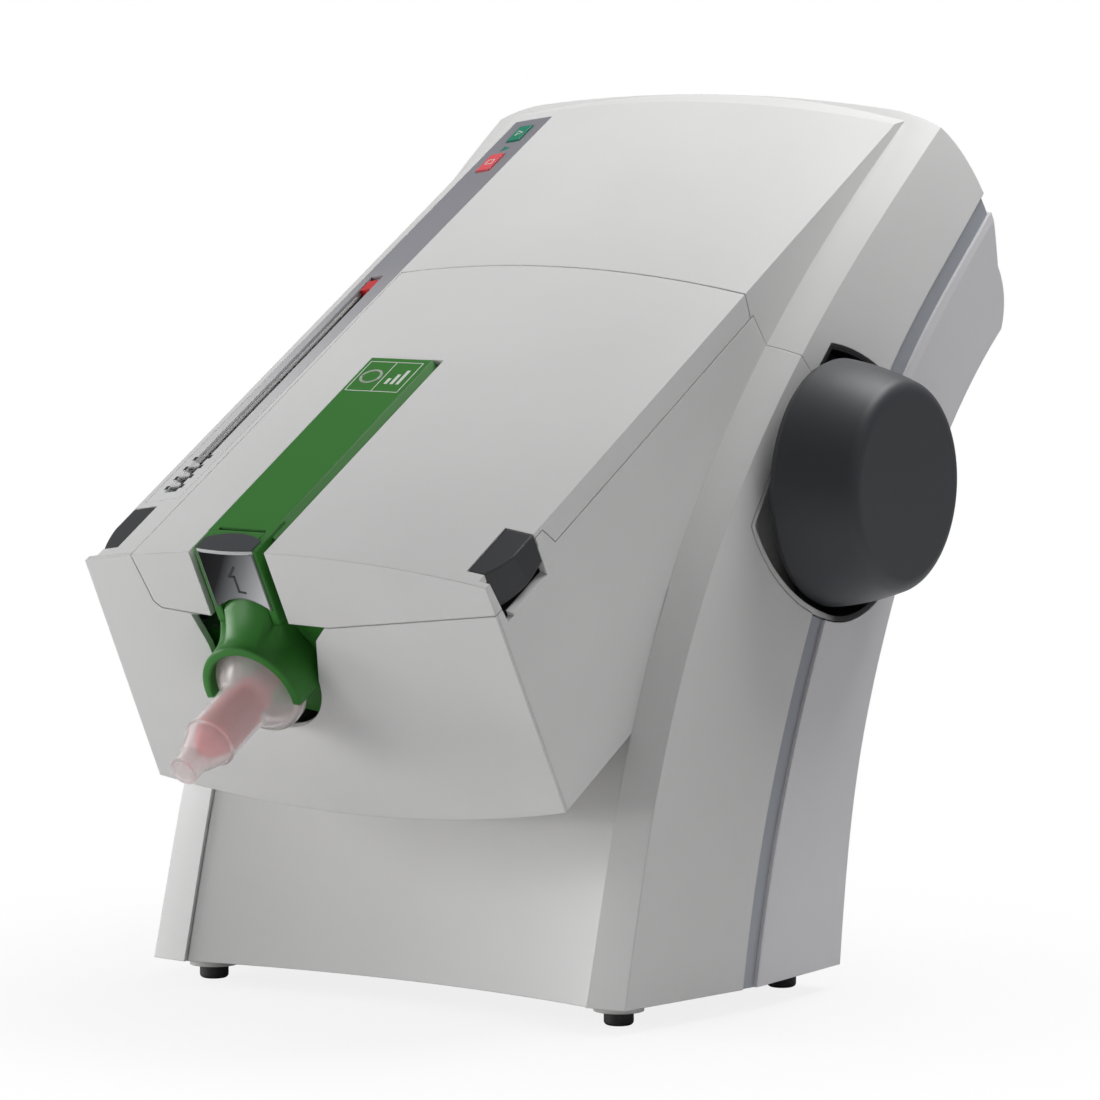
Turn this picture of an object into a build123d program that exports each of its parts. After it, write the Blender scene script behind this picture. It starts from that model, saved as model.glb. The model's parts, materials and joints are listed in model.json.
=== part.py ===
from build123d import *

import math
import os

# Dental impression mixer: a tabletop machine that presses two foil bags of impression paste through a
# mixing tip. Millimetres, +Z up, the front faces -Y, origin under the middle of the whole machine.

os.makedirs("parts", exist_ok=True)

# ---------------------------------------------------------------- driving dimensions: housing
wall = 3.0
seam_gap = 0.5
base_z = 9.4
plate_thickness = 3.0
shoulder_half_width_low = 112.3
shoulder_half_width_high = 108.6
flare_run = 66.0
flare_rise = 12.2
trim_run = 9.0
trim_sink = 1.4
flare_tail = 1.4
tail_run = 170.0
tail_narrowing = 1.5
flank_overrun = [(-12.0, -40.0), (88.0, 61.0)]
far_front = -180.0
far_back = 420.0
far_over = 60.0
crown_middle_radius = 700.0
crown_middle_half = 85.0
crown_side_radius = 76.0
crown_reach = 135.0

# Shoulder edge of the housing as seen from the side (y, z), from under the base to the top ridge.
shoulder_points = [(-9.0, -20.0), (0.0, 9.4), (22.0, 85.0), (60.0, 166.0), (132.0, 252.0), (242.4, 338.9)]
# The back of the housing (y, z), from the ridge down to the base.
ridge_points = [shoulder_points[-1], (254.0, 327.3), (262.5, 307.0), (266.0, 290.0)]
tail_points = [ridge_points[-1], (271.5, 277.0), (269.5, 264.0)]
back_points = [tail_points[-1], (222.5, 221.0), (176.0, 151.0), (154.0, 100.0), (140.5, 37.0), (133.5, -20.0)]

# ---------------------------------------------------------------- driving dimensions: head
head_tilt = 29.1
head_front_y = -65.5
head_top_z = 175.5
head_half_top = 93.9
head_half_bottom = 96.3
head_depth = 102.3
head_crown = 9.2
head_sag = 10.6
head_inner_line = 338.5
head_band_run = 15.5
head_band_drop = 5.6
front_panel_thickness = 3.0
lid_left = -70.0
lid_rear = 207.5
lid_skirt = 10.2
lid_skirt_front = 42.0
lid_flange_right = 12.3
lid_flange_s = 5.6
lid_front_gap = 0.2
lid_ledge_s = 36.0
lid_ledge_front_w = -5.0
lid_ledge_rear_w = -1.6
lid_ledge_run = 5.0
lid_edge_lean = 8.0
lid_rear_gap = 0.8
hinge_s = 237.0
hinge_w = -3.0
hinge_pin_radius = 2.5
hinge_arm_width = 5.0
hinge_arm_right_x = 63.2
hinge_arm_left_x = -65.5
goose_inner = 34.0
goose_outer = 39.0
goose_low_angle = 48.0
goose_high_angle = 10.0

# ---------------------------------------------------------------- driving dimensions: drive
feed_stroke = 126.0
wheel_y = 142.6
wheel_z = 201.0
wheel_root_x = 121.0
wheel_front_x = 152.6
wheel_root_radius = 49.3
wheel_front_radius = 40.6
wheel_edge_radius = 6.0
recess_radius = 52.7
recess_depth_x = 106.0
recess_land = 17.0
cartridge_x = -23.5
axis_w = -49.5
running_clearance = 0.05
clearance = 0.4

tray_wall_radius = 36.0
large_axis_x = 18.0
small_axis_x = -54.0
small_tube_radius = 14.0
tube_wall = 1.6
cartridge_front_s = 8.0
cartridge_rear_s = 181.8
large_rod_radius = 8.0
small_rod_radius = 5.0
disc_gap = 1.2
disc_thickness = 3.8
bay_wall_s = 186.6
bay_wall_thickness = 1.8
mixer_gear_s = 190.0
mixer_gear_width = 8.0
bulkhead_s = 200.0
bulkhead_thickness = 4.0
carriage_thickness = 9.0
stroke_end_gap = 1.4
carriage_left = -85.0
carriage_right = 78.0
carriage_top_w = -35.0
carriage_bottom_w = -58.0
mixer_shaft_radius = 4.0
mixer_teeth = 44
mixer_pinion_teeth = 14
mixer_module = 1.0
mixer_motor_radius = 19.0
mixer_motor_length = 48.0
wheel_shaft_radius = 5.0
feed_module = 1.0
feed_teeth = 30
feed_pinion_x = 67.0
feed_pinion_width = 10.0
feed_gear_module = 1.25
feed_gear_teeth = 48
feed_motor_teeth = 12
feed_gear_x = 81.0
feed_gear_width = 6.0
feed_motor_radius = 20.0
feed_motor_length = 52.0
chassis_thickness = 3.0
chassis_right_x = 56.5
chassis_left_x = -90.0
button_left_x = 82.2
button_front_s = 7.4
button_rear_s = 35.6
button_depth_w = 14.6
button_travel = 1.5
button_front_x = 89.0
button_rear_x = 94.6
button_side = (93.4, 20.0)
button_foot_middle = (22.0, 0.6)
button_foot_rise = 3.0
button_foot_over = 1.0
button_sink = 0.1
holder_gap = 0.6
holder_wall = 2.0
holder_reach_x = 90.4
holder_top_w = -5.0
holder_rear_reach = 4.0
strip_left = -91.0
strip_right = -72.0
strip_front = 40.5
strip_rear = 333.0
strip_thickness = 1.2
strip_taper = 2.0
strip_room_depth = 10.0
slot_left = -86.0
slot_right = -79.4
slot_front = 46.0
slot_rear = 207.0
key_travel = 1.0
foot_radius = 9.8
foot_disc_bottom = 5.6
foot_pad_radius = 5.8
pocket_floor_w = 16.4
pocket_edge_w = 19.0
pocket_front_s = 2.9
pocket_scoop_s = 10.0
pocket_scoop_x = 89.4
pocket_inner_x = 90.5
cup_wall = 2.0
recess_cut_x = 103.4
trim_width = 8.0
trim_growth = 0.012
side_seam_x = 85.5
motor_z = 163.5
shaft_hole = 4.0
mixer_bearing_radius = 8.0
bush_wall = 3.0
bush_flange = 2.0
motor_front_s = 204.0
motor_shaft_reach = 6.0
motor_socket = 6.5
shaft_end = 4.0
shaft_root = 1.5
pointer_rear_s = 204.0
pointer_length = 7.0
wheel_rear_x = 118.5
wheel_rear_step = 1.0
wheel_bore_end = 136.0
wheel_bulge = 1.2
wheel_wall = 4.0
hub_radius = 11.0
rim_inner_step = 3.0
rocker_lean = 7.0
rocker_gap = 2.6
rocker_rise = 2.6
rocker_waist = 1.6
rocker_depth = 2.2
pivot_radius = 1.5
pivot_depth = 2.5
pivot_inset = 0.6
back_flange = 1.5
switch_depth = 14.0
switch_wall = 1.8
switch_floor = 12.0
key_board_w = -8.0
key_rise = 0.6
key_board_left = -86.0
key_board_right = -72.0
key_board_front = 284.0
key_board_rear = 334.0
bush_rear = 207.6
carriage_s = bush_rear + stroke_end_gap + feed_stroke + carriage_thickness
bulkhead_top_w = -4.0
notch_w = -36.0
notch_half_width = 7.0
pointer_arm_half = 3.0
pointer_arm_rise = 4.0
pointer_room = 5.0
pointer_x = -82.7
pointer_w = -14.0
pointer_rod_radius = 2.2
tray_thickness = 2.0
tray_front_s = 5.0
tray_floor_gap = 3.0
tray_edge_w = -40.0
saddle_top_w = -56.0
saddle_middle_w = -64.0
saddles = [40.0, 140.0]
cartridge_plate = 4.0
link_half_height = 26.0
spine_left = -38.5
spine_right = -9.6
spine_foot = -5.6
spine_top_w = 9.6
spine_low_w = 4.0
spine_rear_s = 135.7
web_left = -36.0
web_right = -20.0
web_low_w = -43.0
web_front_s = 6.0
rail_left = -37.9
rail_right = -8.7
rail_width = 3.4
rail_low_w = -24.0
latch_axis = (11.8, 7.8)
latch_hub_radius = 2.0
trunnion_radius = 1.2
trunnion_reach = 1.6
rail_skin = 1.4
bridge_w = 2.0
bridge_depth = 3.0
bridge_length = 8.0
bridge_start = 4.0
latch_left = -34.2
latch_right = -12.4
latch_front_s = 1.0
latch_thickness = 2.4
latch_tab_drop = 1.2
latch_low_w = -17.7
latch_arc_w = -12.7
collar_front_s = -13.0
collar_rear_s = 3.0
neck_flare = 2.5
neck_setback = 1.0
neck_rise = 8.0
mouth_top = -6.0
mouth_corner = (40.0, -34.0)
hood_radius = 22.0
hood_inner_radius = 19.2
outlet_radius = 8.2
tip_flange_radius = 18.5
tip_barrel_radius = 10.2
tip_wall = 1.2
tip_root_radius = 16.0
tip_step_rear = 5.2
rotor_radius = 8.4
rotor_shaft_radius = 2.4
rotor_front_s = -44.0
rotor_rear_s = 2.2
blade_count = 10
blade_turn = 36.0
blade_width = 3.2
blade_thickness = 1.6
blade_front_gap = 2.0
blade_rear_s = -18.0
rotor_core_front_s = -8.0
psu_low = (-85.0, 52.0)
psu_high = (-5.0, 108.0)
psu_height = 48.0
feed_shaft_radius = 3.0
rack_left = 68.0
rack_right = 76.0
rack_front_s = 172.0
rack_top_w = -54.0
hair_gap = 0.25
panel_lip = 1.2
pillar_inner_x = 95.6
base_hollow = 11.0
base_panel_top = 165.0
front_trim_growth = 10.0
base_plate_front_gap = 1.4
base_plate_side_gap = 1.0
lever_slot_left = -41.0
lever_slot_right = -4.7
lever_slot_rear = 136.5
cut_out_radius = 23.5
hinge_hub_radius = 4.0
hinge_side_gap = 0.4
cheek_thickness = 2.6
cheek_half = 6.0
cheek_top_gap = 1.2
pin_bore_reach = 10.0
pin_half_length = 5.5
post_inset_x = 6.0
post_inset_s = 8.0
post_radius = 3.0
post_top_gap = 1.4
key_post_inset = 3.0
key_post_radius = 2.0
key_post_top_gap = 2.0
goose_leg = 5.0
scale_teeth = 3
scale_start = 5.0
scale_pitch = 7.0
scale_reach = 3.0
scale_base = 4.4
scale_tip = (1.2, 3.2)
scale_height = (0.2, 0.9)
bearing_radius = 9.0
board_half_width = 55.0
board_front_s = 252.0
board_rear_s = 322.0
board_w = -14.0
board_thickness = 1.6
back_y = 139.0
back_z = 37.0
back_lean = 10.6
inlet_x = -50.0
inlet_width = 30.0
inlet_height = 24.0
inlet_depth = 20.0
socket_half = (12.0, 8.0)
socket_floor = 15.0
pin_half = (1.0, 2.0)
pin_front = 1.0
pins = [(-7.0, -2.0), (0.0, 2.5), (7.0, -2.0)]
switch_x = -12.0
switch_width = 15.0
switch_height = 22.0
vent_count = 9
vent_pitch = 7.0
vent_width = 3.0
vent_length = 90.0
vent_start = 40.0

# Keys on the indicator strip: middle x and s, width and length.
start_key_size = (-79.4, 320.8, 6.6, 12.0)
stop_key_size = (-80.4, 297.1, 6.8, 13.2)
keys = [start_key_size, stop_key_size]

# Lower edge of the lid's front flange (x, w), and the top of the cut-out in the head's front panel.
lid_flange_edge = [(lid_left, 5.0), (lid_left + 3.3, -16.9), (lid_left + 6.0, -19.7), (-38.6, -22.3),
    (13.8, -23.7)]
cut_out_top = [(-47.5, -36.0), (-50.8, -22.0), (13.6, -22.0), (5.6, -30.3)]

# Middles of the feet (x, y).
feet = [(97.0, 20.0), (-97.0, 20.0), (104.0, 128.0), (-104.0, 128.0)]

# Edges of the two chassis plates (s, w): in front of the bulkhead and behind it.
right_plate_front = [(4.0, -96.0), (4.0, -60.0), (40.0, -16.0)]
right_plate_rear = [(236.0, -90.0), (200.0, -118.0), (188.0, -126.0), (150.0, -126.0), (140.0, -96.0)]
right_plate_end_s = 240.0
left_plate_front = [(40.0, -97.0), (40.0, -60.0), (80.0, -12.0)]
left_plate_rear = [(244.0, -40.0), (244.0, -97.0)]
left_plate_window = (120.0, -66.0)
left_plate_window_radius = 16.0

# Outline of the mixing tip's outside (s, radius), from its flange to its nozzle.
tip_flange_front = [(-9.0, tip_flange_radius), (-10.2, 16.4), (-18.0, tip_barrel_radius)]
tip_cone = [(-43.0, tip_barrel_radius), (-52.0, 5.6)]

# Front edge of the trim band (y, z) in the side view, and the seam between the upper and the lower shells.
trim_edge = [(60.0, -20.0), (66.0, 9.4), (85.7, 79.0), (121.0, 155.0), (183.0, 244.0), (251.0, 305.0),
    (300.0, 349.0)]
seam_points = [(129.0, 257.0), (132.0, 251.7), (134.8, 247.0), (152.0, 219.0)]

# ---------------------------------------------------------------- frames
cos_tilt = math.cos(math.radians(head_tilt))
sin_tilt = math.sin(math.radians(head_tilt))
tip_length = 62.5
tip_nozzle_radius = 4.2
body_half_width = shoulder_half_width_low + flare_rise + flare_tail
mid_x = (body_half_width - wheel_front_x) / 2
tip_front_y = head_front_y - tip_length * cos_tilt - (axis_w + tip_nozzle_radius) * sin_tilt
tail_rear_y = Spline(*tail_points).bounding_box().max.X
mid_y = -(tip_front_y + tail_rear_y) / 2

FLOOR = Plane(origin=(mid_x, mid_y, 0))
SIDE = Plane(origin=(mid_x, mid_y, 0), x_dir=(0, 1, 0), z_dir=(1, 0, 0))
head_origin = (mid_x, mid_y + head_front_y, head_top_z)
HEAD = Plane(origin=head_origin, x_dir=(1, 0, 0), z_dir=(0, -sin_tilt, cos_tilt))
HEAD_SIDE = Plane(origin=head_origin, x_dir=(0, cos_tilt, sin_tilt), z_dir=(1, 0, 0))
HEAD_FRONT = Plane(origin=head_origin, x_dir=(1, 0, 0), z_dir=(0, -cos_tilt, -sin_tilt))
back_normal = (0, math.cos(math.radians(back_lean)), -math.sin(math.radians(back_lean)))
BACK = Plane(origin=(mid_x, mid_y + back_y, back_z), x_dir=(-1, 0, 0), z_dir=back_normal)


def across(s):
    """Plane square to the head's length, s behind its front face, facing the front."""
    return HEAD_FRONT.offset(-s)


def head_s(y, z):
    """Distance along the head of a point given in the side view."""
    return (y - head_front_y) * cos_tilt + (z - head_top_z) * sin_tilt


def head_w(y, z):
    """Height above the head's top plane of a point given in the side view."""
    return -(y - head_front_y) * sin_tilt + (z - head_top_z) * cos_tilt


# ---------------------------------------------------------------- the housing's outer and inner form
middle_angle = math.asin(crown_middle_half / crown_middle_radius)
middle_drop = crown_middle_radius * (1 - math.cos(middle_angle))


def crown_drop(x):
    """How far the crowned housing falls below its middle at x."""
    x = abs(x)
    if x <= crown_middle_half:
        return crown_middle_radius - math.sqrt(crown_middle_radius**2 - x * x)
    lean = math.sin(middle_angle) + (x - crown_middle_half) / crown_side_radius
    return middle_drop + crown_side_radius * (math.cos(middle_angle) - math.sqrt(1 - lean * lean))


crown_rise = crown_drop(shoulder_half_width_high)


def inset_points(points, amount):
    """A spline's points moved square to it, to its left as it runs."""
    curve = Spline(*points)
    moved = []
    for y, z in points:
        along = curve % curve.param_at_point(Vector(y, z))
        moved.append((y - along.Y * amount, z + along.X * amount))
    return moved


def arch_form(inset, whole=True):
    """The arch as a solid: its side view carried along the crown. If not whole, its front is left open."""
    ridge_line = inset_points(ridge_points, -inset)
    back_line = inset_points(back_points, -inset)
    shoulder_line = inset_points(shoulder_points, -inset)
    ridge_y, ridge_z = ridge_line[0]
    high = ridge_z + far_over
    low = back_line[-1][1]
    start_z = crown_rise - crown_drop(crown_reach)
    view = Plane(origin=(mid_x - crown_reach, mid_y, start_z), x_dir=(0, 1, 0), z_dir=(1, 0, 0))
    with BuildPart() as arch:
        with BuildSketch(view):
            with BuildLine():
                Spline(*ridge_line)
                if inset:
                    Line(ridge_line[-1], back_line[0])
                else:
                    Spline(*tail_points)
                Spline(*back_line)
                Polyline(back_line[-1], (far_front, low), (far_front, high), (ridge_y - far_over, high),
                    ridge_line[0])
            make_face()
            if whole:
                with BuildLine():
                    Spline(*shoulder_line)
                    end_y, end_z = shoulder_line[-1]
                    Polyline((end_y, end_z), (end_y + far_over, end_z + far_over), (far_back, high),
                        (far_back, low))
                    Line((far_back, low), shoulder_line[0])
                make_face(mode=Mode.INTERSECT)
        with BuildLine(Plane(origin=(mid_x, mid_y, crown_rise), x_dir=(1, 0, 0), z_dir=(0, -1, 0))) as path:
            middle = ThreePointArc((-crown_middle_half, -middle_drop), (0, 0),
                (crown_middle_half, -middle_drop))
            side_angle = math.asin(math.sin(middle_angle) + (crown_reach - crown_middle_half) / crown_side_radius)
            side_size = math.degrees(side_angle - middle_angle)
            JernArc(middle @ 1, middle % 1, crown_side_radius, -side_size)
            JernArc(middle @ 0, -(middle % 0), crown_side_radius, side_size)
        sweep(path=path.wires()[0], normal=(1, 0, 0))
    return arch.part


def half_width(z):
    """Half width of the housing at its shoulder edge at height z."""
    share = (z - shoulder_points[1][1]) / (shoulder_points[-1][1] - shoulder_points[1][1])
    return shoulder_half_width_low + (shoulder_half_width_high - shoulder_half_width_low) * share


def flanks_form(inset):
    """The block between the two flared flanks, which follow the shoulder edge up and back."""
    first_y, first_z = shoulder_points[0]
    last_y, last_z = shoulder_points[-1]
    below, above = flank_overrun
    levels = [(first_y + below[0], first_z + below[1])] + shoulder_points + [(last_y + above[0],
        last_z + above[1])]
    slope = flare_rise / flare_run
    with BuildPart() as flanks:
        for y, z in levels:
            half = half_width(z) - inset
            right = [(half - slope * far_over, y - far_over)]
            right += [(half, y)]
            right += [(half + flare_rise, y + flare_run)]
            right += [(half + flare_rise + flare_tail, y + flare_run + trim_run)]
            right += [(half + flare_rise + flare_tail - tail_narrowing, y + tail_run)]
            left = [(-x, y) for x, y in reversed(right)]
            with BuildSketch(FLOOR.offset(z)):
                with BuildLine():
                    Polyline(*right, *left, close=True)
                make_face()
        loft()
    return flanks.part


def head_form(inset):
    """The head as a crowned box reaching back over the arch, its top falling away in a narrow band at the ridge."""
    crown_radius = (head_half_top**2 + head_crown**2) / (2 * head_crown)
    drop_angle = math.asin(head_half_bottom * 1.1 / crown_radius)
    drop = crown_radius * (1 - math.cos(drop_angle))
    reach = crown_radius * math.sin(drop_angle)
    start = HEAD.offset(head_crown - drop - inset).origin - Vector(reach, 0, 0)
    with BuildPart() as head:
        with BuildSketch(Plane(origin=start, x_dir=HEAD_SIDE.x_dir, z_dir=(1, 0, 0))):
            with BuildLine():
                band_end = (head_inner_line + head_band_run * 3, -head_band_drop * 3)
                deep = -2 * head_depth
                Polyline((inset, 0), (head_inner_line, 0), band_end, (band_end[0], deep), (inset, deep),
                    close=True)
            make_face()
        with BuildLine(Plane(origin=HEAD.offset(head_crown).origin, x_dir=(1, 0, 0), z_dir=HEAD_FRONT.z_dir)):
            ThreePointArc((-reach, -drop), (0, 0), (reach, -drop))
        sweep(normal=(1, 0, 0))
        with BuildSketch(HEAD_FRONT):
            with BuildLine():
                flare = (head_half_bottom - head_half_top) / head_depth
                top_half = head_half_top - flare * far_over - inset
                low_half = head_half_bottom - inset
                low = -head_depth + inset
                Polyline((-low_half, low), (-top_half, far_over), (top_half, far_over), (low_half, low))
                ThreePointArc((-low_half, low), (0, low - head_sag), (low_half, low))
            make_face()
        extrude(amount=-2 * head_inner_line, mode=Mode.INTERSECT)
    return head.part


# ---------------------------------------------------------------- helpers that add to the piece being made
def box_between(plane, low, high, mode=Mode.ADD):
    """A box between two corners given in a plane's own coordinates."""
    with BuildSketch(plane.offset(low[2])) as face:
        with Locations(((low[0] + high[0]) / 2, (low[1] + high[1]) / 2)):
            Rectangle(high[0] - low[0], high[1] - low[1])
    extrude(face.sketch, amount=high[2] - low[2], mode=mode)


def prism_between(plane, points, low, high, mode=Mode.ADD):
    """A polygon given in a plane's own coordinates, raised from low to high above it."""
    with BuildSketch(plane.offset(low)) as face:
        with BuildLine():
            Polyline(*points, close=True)
        make_face()
    extrude(face.sketch, amount=high - low, mode=mode)


def rod_between(plane, centre, radius, low, high, mode=Mode.ADD):
    """A cylinder square to a plane, from low to high above it."""
    with BuildSketch(plane.offset(low)) as face:
        with Locations(centre):
            Circle(radius)
    extrude(face.sketch, amount=high - low, mode=mode)


def rod_along(x, w, radius, front, rear, mode=Mode.ADD):
    """A cylinder along the head, from front to rear behind its front face."""
    rod_between(HEAD_FRONT, (x, w), radius, -rear, -front, mode)


def plate_along(points, front, rear, mode=Mode.ADD):
    """A plate square to the head's length, its outline given as (x, w)."""
    prism_between(HEAD_FRONT, points, -rear, -front, mode)


def gear_between(plane, centre, teeth, module, low, high, turn=0.0, backlash=0.12):
    """A spur gear with straight-flanked teeth, one of them pointing along the turn angle in degrees."""
    pitch_radius = teeth * module / 2
    half = math.pi / (2 * teeth)
    flank = [(-1.25, 1.42), (0.0, 1.0 - backlash), (1.0, 0.46)]
    outline = []
    for tooth in range(teeth):
        middle = math.radians(turn) + 2 * math.pi * tooth / teeth
        rising = [(pitch_radius + up * module, middle - half * wide) for up, wide in flank]
        falling = [(radius, 2 * middle - angle) for radius, angle in reversed(rising)]
        outline += [(centre[0] + r * math.cos(a), centre[1] + r * math.sin(a)) for r, a in rising + falling]
    prism_between(plane, outline, low, high)


def side_point(s, w):
    """The side view's (y, z) of a point of the head."""
    return (head_front_y + s * cos_tilt - w * sin_tilt, head_top_z + s * sin_tilt + w * cos_tilt)


def crown_w(x):
    """Height of the head's crowned top at x."""
    return head_crown * (1 - (x / head_half_top) ** 2)


def behind(edge):
    """All that lies behind an edge given in the side view."""
    end_y, end_z = edge[-1]
    with BuildPart() as made:
        with BuildSketch(SIDE):
            with BuildLine():
                Spline(*edge)
                Polyline(edge[-1], (far_back, end_z), (far_back, edge[0][1]), edge[0])
            make_face()
        extrude(amount=far_back, both=True)
    return made.part


def recess_zone(radius, land, low_x):
    """The round well of the handwheel, cut straight where it comes near the shoulder edge."""
    with BuildPart() as zone:
        rod_between(SIDE, (wheel_y, wheel_z), radius, low_x, far_back)
        add(behind([(y + land, z) for y, z in shoulder_points]), mode=Mode.INTERSECT)
    return zone.part


def finish(part, name):
    """Labels a finished piece and writes it."""
    part.label = name
    export_step(part, f"parts/{name}.step")


# ---------------------------------------------------------------- the housing's skin and the zones that divide it
head_outer = head_form(0)
arch_outer = arch_form(0)
outer = (arch_outer & flanks_form(0)) + (head_outer & arch_form(0, False))
inner = (arch_form(wall) & flanks_form(wall)) + (head_form(wall) & arch_form(wall, False))

# The cup of the handwheel stops short of the back wall, which stays whole.
room_land = recess_land - cup_wall - seam_gap
cup_room = recess_zone(recess_radius + cup_wall + seam_gap, room_land, recess_cut_x) & arch_form(wall)
trim_front = behind(trim_edge)
trim_rear_edge = [(y + trim_width + trim_growth * (z - base_z), z) for y, z in trim_edge]
trim_rear = behind(trim_rear_edge)

with BuildPart() as skin:
    add(outer)
    add(inner, mode=Mode.SUBTRACT)
    box_between(FLOOR, (-far_back, -far_back, -far_over), (far_back, far_back, base_z), Mode.SUBTRACT)
    add(cup_room, mode=Mode.SUBTRACT)

with BuildPart() as front_skin:
    add(skin.part)
    add(trim_front, mode=Mode.SUBTRACT)

skirt_end = lid_rear - 4.0
seam = [side_point(-far_over, -lid_skirt), side_point(lid_rear, -lid_skirt)] + seam_points
with BuildPart() as upper_zone:
    upper_outline = seam + [(far_back, seam[-1][1]), (far_back, far_back), (far_front, far_back)]
    prism_between(SIDE, upper_outline, -far_back, far_back)
    box_between(HEAD, (lid_left, -far_back, -far_back), (far_back, skirt_end, far_back), Mode.SUBTRACT)
with BuildPart() as lower_zone:
    lower_seam = [(y, z - seam_gap) for y, z in seam]
    lower_outline = lower_seam + [(far_back, lower_seam[-1][1]), (far_back, -far_over), (far_front, -far_over)]
    prism_between(SIDE, lower_outline, -far_back, far_back)
    box_between(HEAD, (side_seam_x, -far_back, -far_back), (far_back, skirt_end - seam_gap, far_back))


def lid_zone(grow, rear_grow):
    """The room the lid takes, grown by a gap."""
    lean = math.tan(math.radians(lid_edge_lean))
    skirt_rear = lid_rear - (lid_skirt + head_crown) * lean
    flange_front = front_panel_thickness + lid_front_gap
    side_view = [(-far_over, far_over), (-far_over, -far_over), (flange_front, -far_over)]
    side_view += [(flange_front, -lid_flange_right), (lid_flange_s, -lid_flange_right)]
    side_view += [(lid_flange_s, lid_ledge_front_w), (lid_ledge_s, lid_ledge_front_w),
        (lid_ledge_s, lid_ledge_rear_w)]
    side_view += [(lid_skirt_front, lid_ledge_rear_w), (lid_skirt_front + lid_ledge_run, -lid_skirt)]
    side_view += [(skirt_rear, -lid_skirt), (lid_rear + (far_over - head_crown) * lean, far_over)]
    front_view = [(lid_left, far_over)] + lid_flange_edge
    front_view += [(head_half_top, -lid_flange_right), (far_back, -lid_flange_right), (far_back, far_over)]
    with BuildPart() as zone:
        with BuildSketch(HEAD_SIDE) as side_face:
            with BuildLine():
                Polyline(*side_view, close=True)
            make_face()
            if grow:
                offset(amount=grow, kind=Kind.INTERSECTION)
        extrude(side_face.sketch, amount=far_back, both=True)
        if rear_grow:
            with BuildSketch(HEAD_SIDE) as rear_face:
                with BuildLine():
                    rear_low = (skirt_rear, -lid_skirt)
                    rear_high = (lid_rear + (far_over - head_crown) * lean, far_over)
                    moved = [(s + rear_grow, w) for s, w in (rear_high, rear_low)]
                    Polyline(rear_low, rear_high, *moved, close=True)
                make_face()
            extrude(rear_face.sketch, amount=far_back, both=True)
        with BuildSketch(HEAD_FRONT) as front_face:
            with BuildLine():
                Polyline(*front_view, close=True)
            make_face()
            if grow:
                offset(amount=grow, kind=Kind.INTERSECTION)
        extrude(front_face.sketch, amount=far_back, both=True, mode=Mode.INTERSECT)
    return zone.part


lid_room = lid_zone(seam_gap, lid_rear_gap)

# Pockets for the two lid buttons at the front corners.
button_pocket = [(button_left_x - clearance, far_over), (button_left_x - clearance, -pocket_floor_w)]
button_pocket += [(pocket_inner_x, -pocket_floor_w), (head_half_bottom, -pocket_edge_w),
    (far_back, -pocket_edge_w)]
button_pocket += [(far_back, far_over)]
with BuildPart() as right_pocket:
    plate_along(button_pocket, button_front_s - clearance, button_rear_s + clearance)
    scoop = [(pocket_front_s, far_over), (pocket_front_s, 0), (lid_flange_s, -pocket_edge_w)]
    scoop += [(pocket_scoop_s, -pocket_edge_w), (pocket_scoop_s, far_over)]
    prism_between(HEAD_SIDE, scoop, pocket_scoop_x, far_back)
left_pocket = mirror(right_pocket.part, about=Plane.YZ.offset(mid_x))


# Room of the indicator strip: a shallow recess that follows the crowned top.
strip_plan = [(strip_left, strip_front), (strip_right - strip_taper, strip_front)]
strip_plan += [(strip_right + strip_taper, strip_rear), (strip_left + strip_taper, strip_rear)]
with BuildPart() as strip_body:
    add(head_outer)
    prism_between(HEAD, strip_plan, -strip_room_depth, far_over, Mode.INTERSECT)
    add(head_form(strip_thickness), mode=Mode.SUBTRACT)
with BuildPart() as strip_room:
    with BuildSketch(HEAD.offset(-strip_room_depth)) as strip_field:
        with BuildLine():
            Polyline(*strip_plan, close=True)
        make_face()
        offset(amount=hair_gap, kind=Kind.INTERSECTION)
    extrude(strip_field.sketch, amount=far_over)
    add(head_form(strip_thickness + hair_gap), mode=Mode.SUBTRACT)


def key_openings():
    """Cuts the openings of the two keys."""
    for key_x, key_s, key_width, key_length in keys:
        reach_x = key_width / 2 + clearance
        reach_s = key_length / 2 + clearance
        low = (key_x - reach_x, key_s - reach_s, -far_over)
        box_between(HEAD, low, (key_x + reach_x, key_s + reach_s, far_over), Mode.SUBTRACT)


def head_section(inset, front, rear, mode=Mode.ADD):
    """A slab of the head's cross-section, its outline moved in by an inset."""
    top = (head_half_top, 0)
    low = (head_half_bottom, -head_depth)
    with BuildSketch(across(rear)) as section:
        with BuildLine():
            ThreePointArc((-top[0], 0), (0, head_crown), top)
            Line(top, low)
            ThreePointArc(low, (0, -head_depth - head_sag), (-low[0], low[1]))
            Line((-low[0], low[1]), (-top[0], 0))
        make_face()
        if inset:
            offset(amount=-inset, kind=Kind.INTERSECTION)
    extrude(section.sketch, amount=rear - front, mode=mode)


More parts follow.
